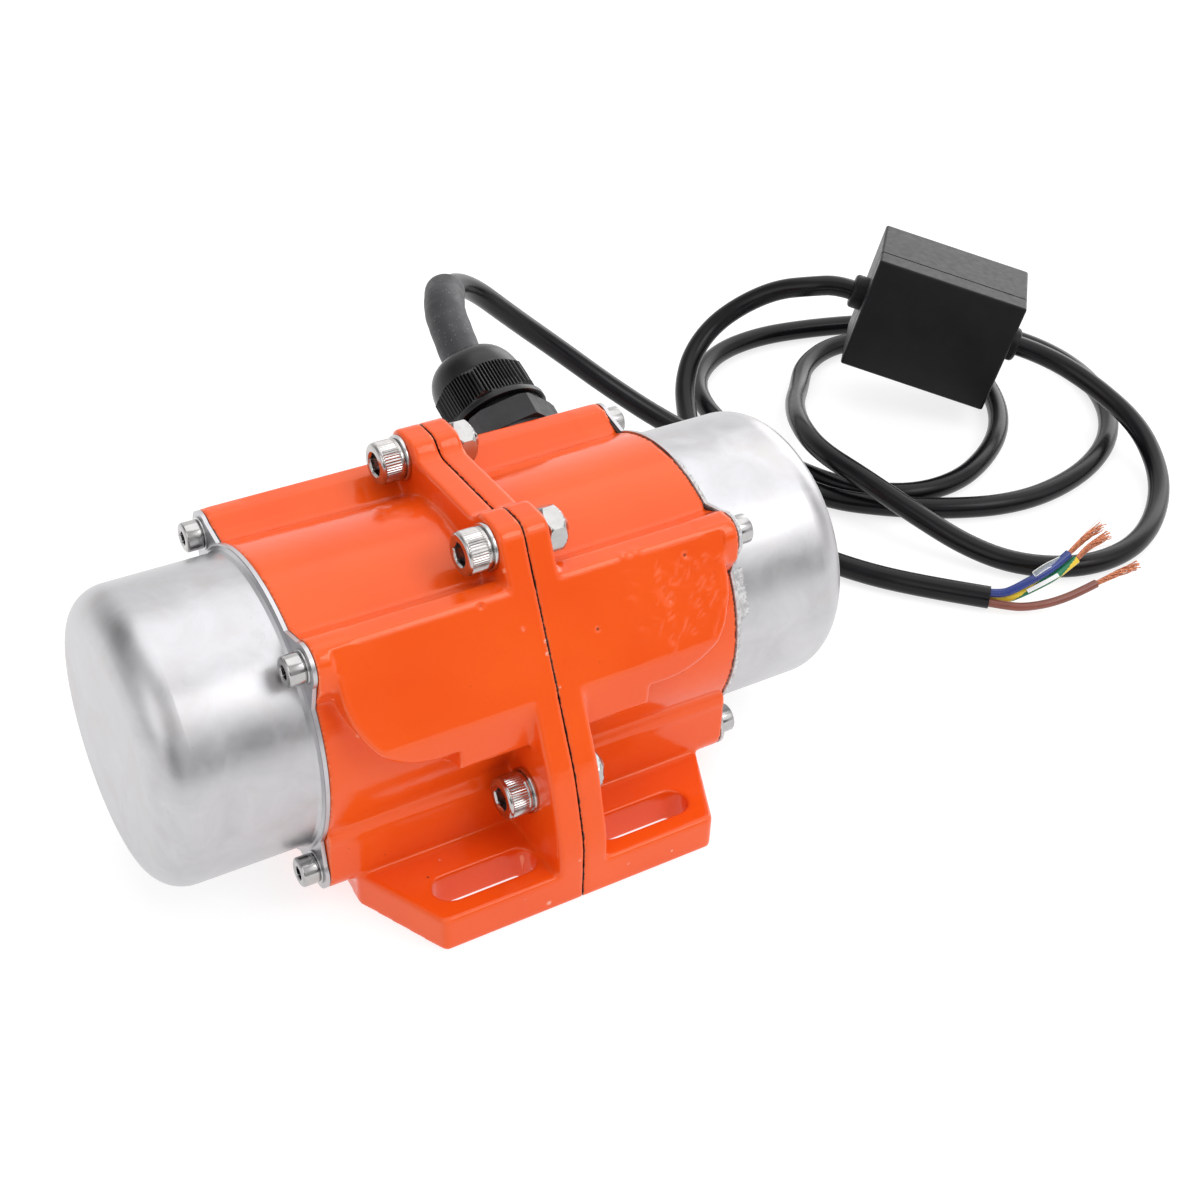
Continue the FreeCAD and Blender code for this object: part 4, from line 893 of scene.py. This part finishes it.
WIRE_RADIUS = 1.2
WIRE_ROWS = 60


def make_wire(node, name, route, looks, pick):
    """Insulated core, hollow at its far end. pick gives a face's look from its row and its share round."""
    line = resampled(line_of(route), WIRE_ROWS)
    count = 36
    r, last = WIRE_RADIUS, WIRE_ROWS - 1
    rings = [(i, r * MM) for i in range(WIRE_ROWS)]
    rings += [(last, r * 0.93 * MM), (last, r * 0.62 * MM), (last - 2, r * 0.6 * MM)]
    kinds = [pick(i, k / count) for i in range(len(rings) - 1) for k in range(count)] + [0, 0]
    mesh = bpy.data.meshes.new(name)
    faces = band_faces(len(rings), count) + end_faces(len(rings), count)
    mesh.from_pydata([tuple(v) for v in tube_verts(line, rings, count)], [], faces)
    made = finish_mesh(name, mesh, looks[0], 40)
    for extra in looks[1:]:
        made.data.materials.append(extra)
    for polygon, kind in zip(made.data.polygons, kinds):
        polygon.material_index = kind
    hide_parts(node)
    return made


def plain(i, share):
    return 0


def striped(i, share):
    return 1 if (share + i * 0.016 + 0.85) % 1.0 < 0.5 else 0


blue_wire = make_wire("wire_blue", "blue_core", BLUE_ROUTE, [BLUE], plain)
brown_wire = make_wire("wire_brown", "brown_core", BROWN_ROUTE, [BROWN], plain)
green_wire = make_wire("wire_green_yellow", "green_yellow_core", GREEN_ROUTE, [YELLOW, GREEN], striped)

STRAND_DRAWS = np.random.RandomState(7)
STRAND_ROWS = 34
STRAND_RADIUS, HAIR_RADIUS = 0.145, 0.05
STRAND_RINGS = [(0.29, 6), (0.56, 11)]
HAIRS = [
    [(185.3, -14.6, 14.0), (188.2, -13.9, 15.8), (191.3, -14.4, 19.2), (193.3, -14.9, 21.3)],
    [(185.3, -14.6, 13.9), (189.2, -14.4, 16.6), (191.2, -15.1, 18.4), (193.0, -15.2, 20.6)],
    [(185.7, -16.8, 12.3), (188.6, -17.5, 12.6), (191.5, -18.8, 14.8), (193.1, -20.7, 14.9)]]


def make_strands():
    """Three bundles of fine twisted copper wires, a little frayed at their ends."""
    parts = []
    for route in STRAND_ROUTES:
        line = resampled(line_of(route), STRAND_ROWS)
        ways, sides = frames_along(line)
        spots = [(0.0, 0.0)]
        for ring, amount in STRAND_RINGS:
            for k in range(amount):
                spots.append((ring, 2 * math.pi * k / amount + ring))
        for ring, start in spots:
            spread = STRAND_DRAWS.uniform(0.1, 0.75)
            drift = STRAND_DRAWS.uniform(-0.9, 0.9)
            short = STRAND_DRAWS.randint(0, 4)
            points = []
            for i in range(STRAND_ROWS - short):
                t = i / (STRAND_ROWS - 1)
                r = ring * (1 + 0.85 * t + spread * t * t * t) + 0.06 * math.sin(9 * t + start)
                angle = start + 4.2 * t + drift * t * t
                other = ways[i].cross(sides[i])
                points.append(line[i] + (sides[i] * math.cos(angle) + other * math.sin(angle)) * (r * MM))
            parts.append(swept(points, STRAND_RADIUS * MM, 6))
    for route in HAIRS:
        parts.append(swept(resampled(line_of(route), 24), HAIR_RADIUS * MM, 5))
    made = finish_mesh("copper_bundles", mesh_of("copper_bundles", *joined(parts)), STRANDS, None)
    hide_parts("copper_strands")
    return made


strands = make_strands()

CLEAR_ROUTE = [(168.9, -16.6, 10.6), (171.7, -16.7, 11.9), (175.1, -16.8, 12.6), (178.0, -16.9, 13.0)]
WHITE_ROUTE = [(166.6, -17.5, 6.2), (169.5, -18.2, 7.4), (172.5, -18.8, 8.6), (175.8, -19.2, 9.8)]
CLEAR_FACING = Vector((-0.44, -0.68, 0.58))
WHITE_FACING = Vector((-0.4, -0.5, 0.77))
CLEAR_WIDTH, WHITE_WIDTH = 1.5, 1.15


def strip_frames(route, facing):
    """Along a route: each place, the strip's flat direction and the direction across it."""
    points = resampled(line_of(route), 24)
    frames = []
    for p, way in zip(points, frames_along(points)[0]):
        flat = (facing - way * facing.dot(way)).normalized()
        frames.append((p, flat, way.cross(flat)))
    return frames


def filler_strip(name, route, width, thickness, facing, look):
    w, t = width * MM / 2, thickness * MM / 2
    frames = strip_frames(route, facing)
    verts = []
    for p, flat, across in frames:
        verts += [p + across * a + flat * b for a, b in ((-w, -t), (w, -t), (w, t), (-w, t))]
    faces = band_faces(len(frames), 4) + end_faces(len(frames), 4)
    return finish_mesh(name, mesh_of(name, verts, faces), look, 30)


def film_edge_glint(route, width, facing):
    """Painted highlight on the cut edges of the clear strip: thin white lines that stand for the light they
    catch.
    """
    half = width * MM / 2
    frames = strip_frames(route, facing)
    left = [p + across * half for p, flat, across in frames]
    right = [p - across * half for p, flat, across in frames]
    # Painted highlight: thin white tubes along both edges and across the start of the film.
    parts = [swept(left, 0.13 * MM, 6), swept(right, 0.10 * MM, 6), swept([left[0], right[0]], 0.12 * MM, 6)]
    return finish_mesh("film_edge_glint", mesh_of("film_edge_glint", *joined(parts)), FILLER, None)


strip_clear = filler_strip("filler_strip_clear", CLEAR_ROUTE, CLEAR_WIDTH, 0.10, CLEAR_FACING, FILM_CLEAR)
strip_white = filler_strip("filler_strip_white", WHITE_ROUTE, WHITE_WIDTH, 0.25, WHITE_FACING, FILLER)
strip_edge_glint = film_edge_glint(CLEAR_ROUTE, CLEAR_WIDTH, CLEAR_FACING)


# Cable gland nut with grip ribs on six flats, and its dome

GLAND_BASE = Vector((32.8, 36.503, 60.383))
GLAND_AXIS = Vector((0.0, 0.89753, 0.44096)).normalized()
GLAND_UP = Vector((0.0, -0.44096, 0.89753)).normalized()
NUT_START = 9.3
NUT_LEAN = 0.05
NUT_CORNER = math.radians(332.0)
RIBS_PER_FLAT = 14
DOME_START, DOME_RISE, DOME_RADIUS, DOME_DROP = 20.0, 8.25, 11.95, 5.0
DOME_STEPS = 13


def gland_place(h, a, b):
    """Place on the nut, which leans a little towards the left cap."""
    lean = -NUT_LEAN * max(h - NUT_START, 0.0)
    p = GLAND_BASE + GLAND_AXIS * h + GLAND_UP * a + Vector((1, 0, 0)) * (b + lean)
    return p * MM


def ribbed_flats(apothem, limit, depth):
    """Radius of a hexagon with grip ribs of a depth, rounded at its corners by a limit."""
    def radius(angle):
        turn = (angle - NUT_CORNER) % (math.pi / 3)
        phase = (turn / (math.pi / 3) * RIBS_PER_FLAT) % 1.0
        groove = 0.5 - 0.5 * math.cos(2 * math.pi * phase)
        return min(apothem / math.cos(turn - math.pi / 6) - depth * (1 - groove) ** 2, limit)
    return radius


def make_gland_nut():
    collar = [(9.3, 11.9), (9.3, 12.9), (9.45, 13.15), (10.6, 13.2), (10.9, 13.05), (11.3, 12.75)]
    grip = [(11.6, 12.1, 13.1, 0.0), (11.9, 12.1, 13.5, 0.75), (14.0, 12.05, 13.6, 0.75),
            (18.3, 12.0, 13.5, 0.75), (18.7, 12.0, 13.15, 0.75), (19.1, 12.0, 12.8, 0.75),
            (19.5, 12.0, 12.45, 0.75), (19.8, 12.0, 12.2, 0.75), (19.95, 11.97, 12.05, 0.0)]
    dome = []
    for step in range(DOME_STEPS + 1):
        turn = step / DOME_STEPS * math.pi / 2 * 0.97
        drop = 1 - math.cos(turn)
        dome.append((DOME_START + DOME_RISE * math.sin(turn), DOME_RADIUS - DOME_DROP * drop))
    mouth = [(28.37, 6.85), (28.42, 6.5), (28.3, 6.27), (27.7, 6.2)]
    bore = [(19.2, 6.2), (19.1, 9.65), (10.3, 9.65), (10.2, 11.2), (9.5, 11.8)]
    rings = collar + [(h, ribbed_flats(*sizes)) for h, *sizes in grip] + dome + mouth + bore
    stand_in("gland_nut_ribbed", [closed_ring(rings, gland_place, 504)], NYLON, 38, "gland_nut")


def make_gland_seal():
    """Rubber ring round the sleeve, ending just inside the mouth of the nut."""
    ring = closed_ring([(19.2, 5.4), (19.2, 6.05), (27.6, 6.05), (27.6, 5.4)], gland_place, 72)
    stand_in("gland_seal_ring", [ring], RUBBER, 30, "gland_seal")


make_gland_nut()
make_gland_seal()


# Painted shadow in the joint between the box and its lid, in the box's own frame

BOX_FRAME = (Matrix.Translation(mm(216.4, 89.0, 30.9)) @ Matrix.Rotation(math.radians(-42.6), 4, "Z")
             @ Matrix.Rotation(math.radians(12.7), 4, "Y"))
SEAM_HALF_X, SEAM_HALF_Z, SEAM_CORNER = 24.0, 19.0, 0.8
SEAM_SECTION = [(-7.20, 0.03), (-6.82, 0.03), (-6.82, -0.3), (-7.20, -0.3)]


def make_box_seam_shadow():
    """Painted shadow in the joint between the box and its lid: a thin black band with no shine round all four
    sides.
    """
    verts = []
    for sx, sz, start in ((1, 1, 0), (-1, 1, 90), (-1, -1, 180), (1, -1, 270)):
        cx, cz = sx * (SEAM_HALF_X - SEAM_CORNER), sz * (SEAM_HALF_Z - SEAM_CORNER)
        for step in range(4):
            angle = math.radians(start + step * 30)
            for y, out in SEAM_SECTION:
                r = SEAM_CORNER + out
                place = Vector((cx + math.cos(angle) * r, y, cz + math.sin(angle) * r))
                verts.append(BOX_FRAME @ (place * MM))
    faces = band_faces(len(verts) // 4, 4, closed=True)
    return finish_mesh("box_seam_shadow", mesh_of("box_seam_shadow", verts, faces), JOINT_SHADOW, 30)


box_seam_shadow = make_box_seam_shadow()


# First places of the two cords' lines, worked out and not used

tuple(POWER_LINE[0])
tuple(LEAD_LINE[0])


# Floor, backdrop and light

FLOOR_REACH = 6
FLOOR_LEVEL = -0.0002
SOFTBOX_PLACE, SOFTBOX_TARGET = (0.36, -0.50, 0.66), (0.0, 0.0, 0.03)
SOFTBOX_SIZE, SOFTBOX_POWER = (0.40, 0.30), 1.1
WORLD_BASE = 0.80
# Regions of the surroundings: direction, inner and outer angle in degrees, strength
WORLD_REGIONS = [
    ((0.45, 0.75, 0.45), 12, 40, 1.12), ((0.87, 0.42, 0.30), 10, 28, 2.9),
    ((0.30, 0.15, 0.95), 24, 34, 1.8), ((0.44, -0.63, 0.60), 14, 26, 1.48),
    ((0.10, -0.97, 0.14), 8, 22, 0.5), ((-0.56, -0.82, 0.12), 12, 24, 0.10),
    ((0.42, -0.90, 0.17), 7, 15, 0.22), ((-0.75, -0.40, 0.53), 12, 20, 1.8),
    ((-0.60, 0.50, 0.62), 10, 30, 0.35)]


def make_floor():
    corners = ((-1, -1), (1, -1), (1, 1), (-1, 1))
    verts = [(x * FLOOR_REACH, y * FLOOR_REACH, FLOOR_LEVEL) for x, y in corners]
    mesh = bpy.data.meshes.new("floor")
    mesh.from_pydata(verts, [], [(0, 1, 2, 3)])
    floor = bpy.data.objects.new("floor", mesh)
    SCENE.collection.objects.link(floor)
    look = Look("floor_white", (0.34, 0.34, 0.34), roughness=0.8, Specular_IOR_Level=0.0,
                Emission_Color=(1, 1, 1, 1), Emission_Strength=0.76)
    look.colour(look.mix(look.noise(0.01, 2.0), (0.34, 0.34, 0.34), (0.35, 0.35, 0.35)))
    mesh.materials.append(look.material)


def make_softbox():
    data = bpy.data.lights.new("key_softbox", "AREA")
    data.shape = "RECTANGLE"
    data.size, data.size_y = SOFTBOX_SIZE
    data.energy = SOFTBOX_POWER
    made = bpy.data.objects.new("key_softbox", data)
    made.location = SOFTBOX_PLACE
    made.rotation_mode = "QUATERNION"
    made.rotation_quaternion = (Vector(SOFTBOX_PLACE) - Vector(SOFTBOX_TARGET)).to_track_quat("Z", "Y")
    SCENE.collection.objects.link(made)


def make_world():
    """Studio surroundings: a soft base level with brighter and darker regions by direction."""
    world = bpy.data.worlds.new("studio")
    world.use_nodes = True
    tree = world.node_tree
    way = tree.nodes.new("ShaderNodeTexCoord").outputs["Generated"]
    level = None
    for direction, inner, outer, strength in WORLD_REGIONS:
        dot = tree.nodes.new("ShaderNodeVectorMath")
        dot.operation = "DOT_PRODUCT"
        tree.links.new(way, dot.inputs[0])
        dot.inputs[1].default_value = Vector(direction).normalized()
        share = tree.nodes.new("ShaderNodeMapRange")
        share.interpolation_type = "SMOOTHSTEP"
        share.inputs["From Min"].default_value = math.cos(math.radians(outer))
        share.inputs["From Max"].default_value = math.cos(math.radians(inner))
        tree.links.new(dot.outputs["Value"], share.inputs["Value"])
        mix = tree.nodes.new("ShaderNodeMix")
        mix.inputs["A"].default_value = WORLD_BASE
        mix.inputs["B"].default_value = strength
        tree.links.new(share.outputs["Result"], mix.inputs["Factor"])
        if level is not None:
            tree.links.new(level, mix.inputs["A"])
        level = mix.outputs["Result"]
    tree.links.new(level, tree.nodes["Background"].inputs["Strength"])
    tree.nodes["Background"].inputs["Color"].default_value = (1, 1, 1, 1)
    SCENE.world = world


make_floor()
make_world()
make_softbox()
SCENE.view_settings.view_transform = "Standard"
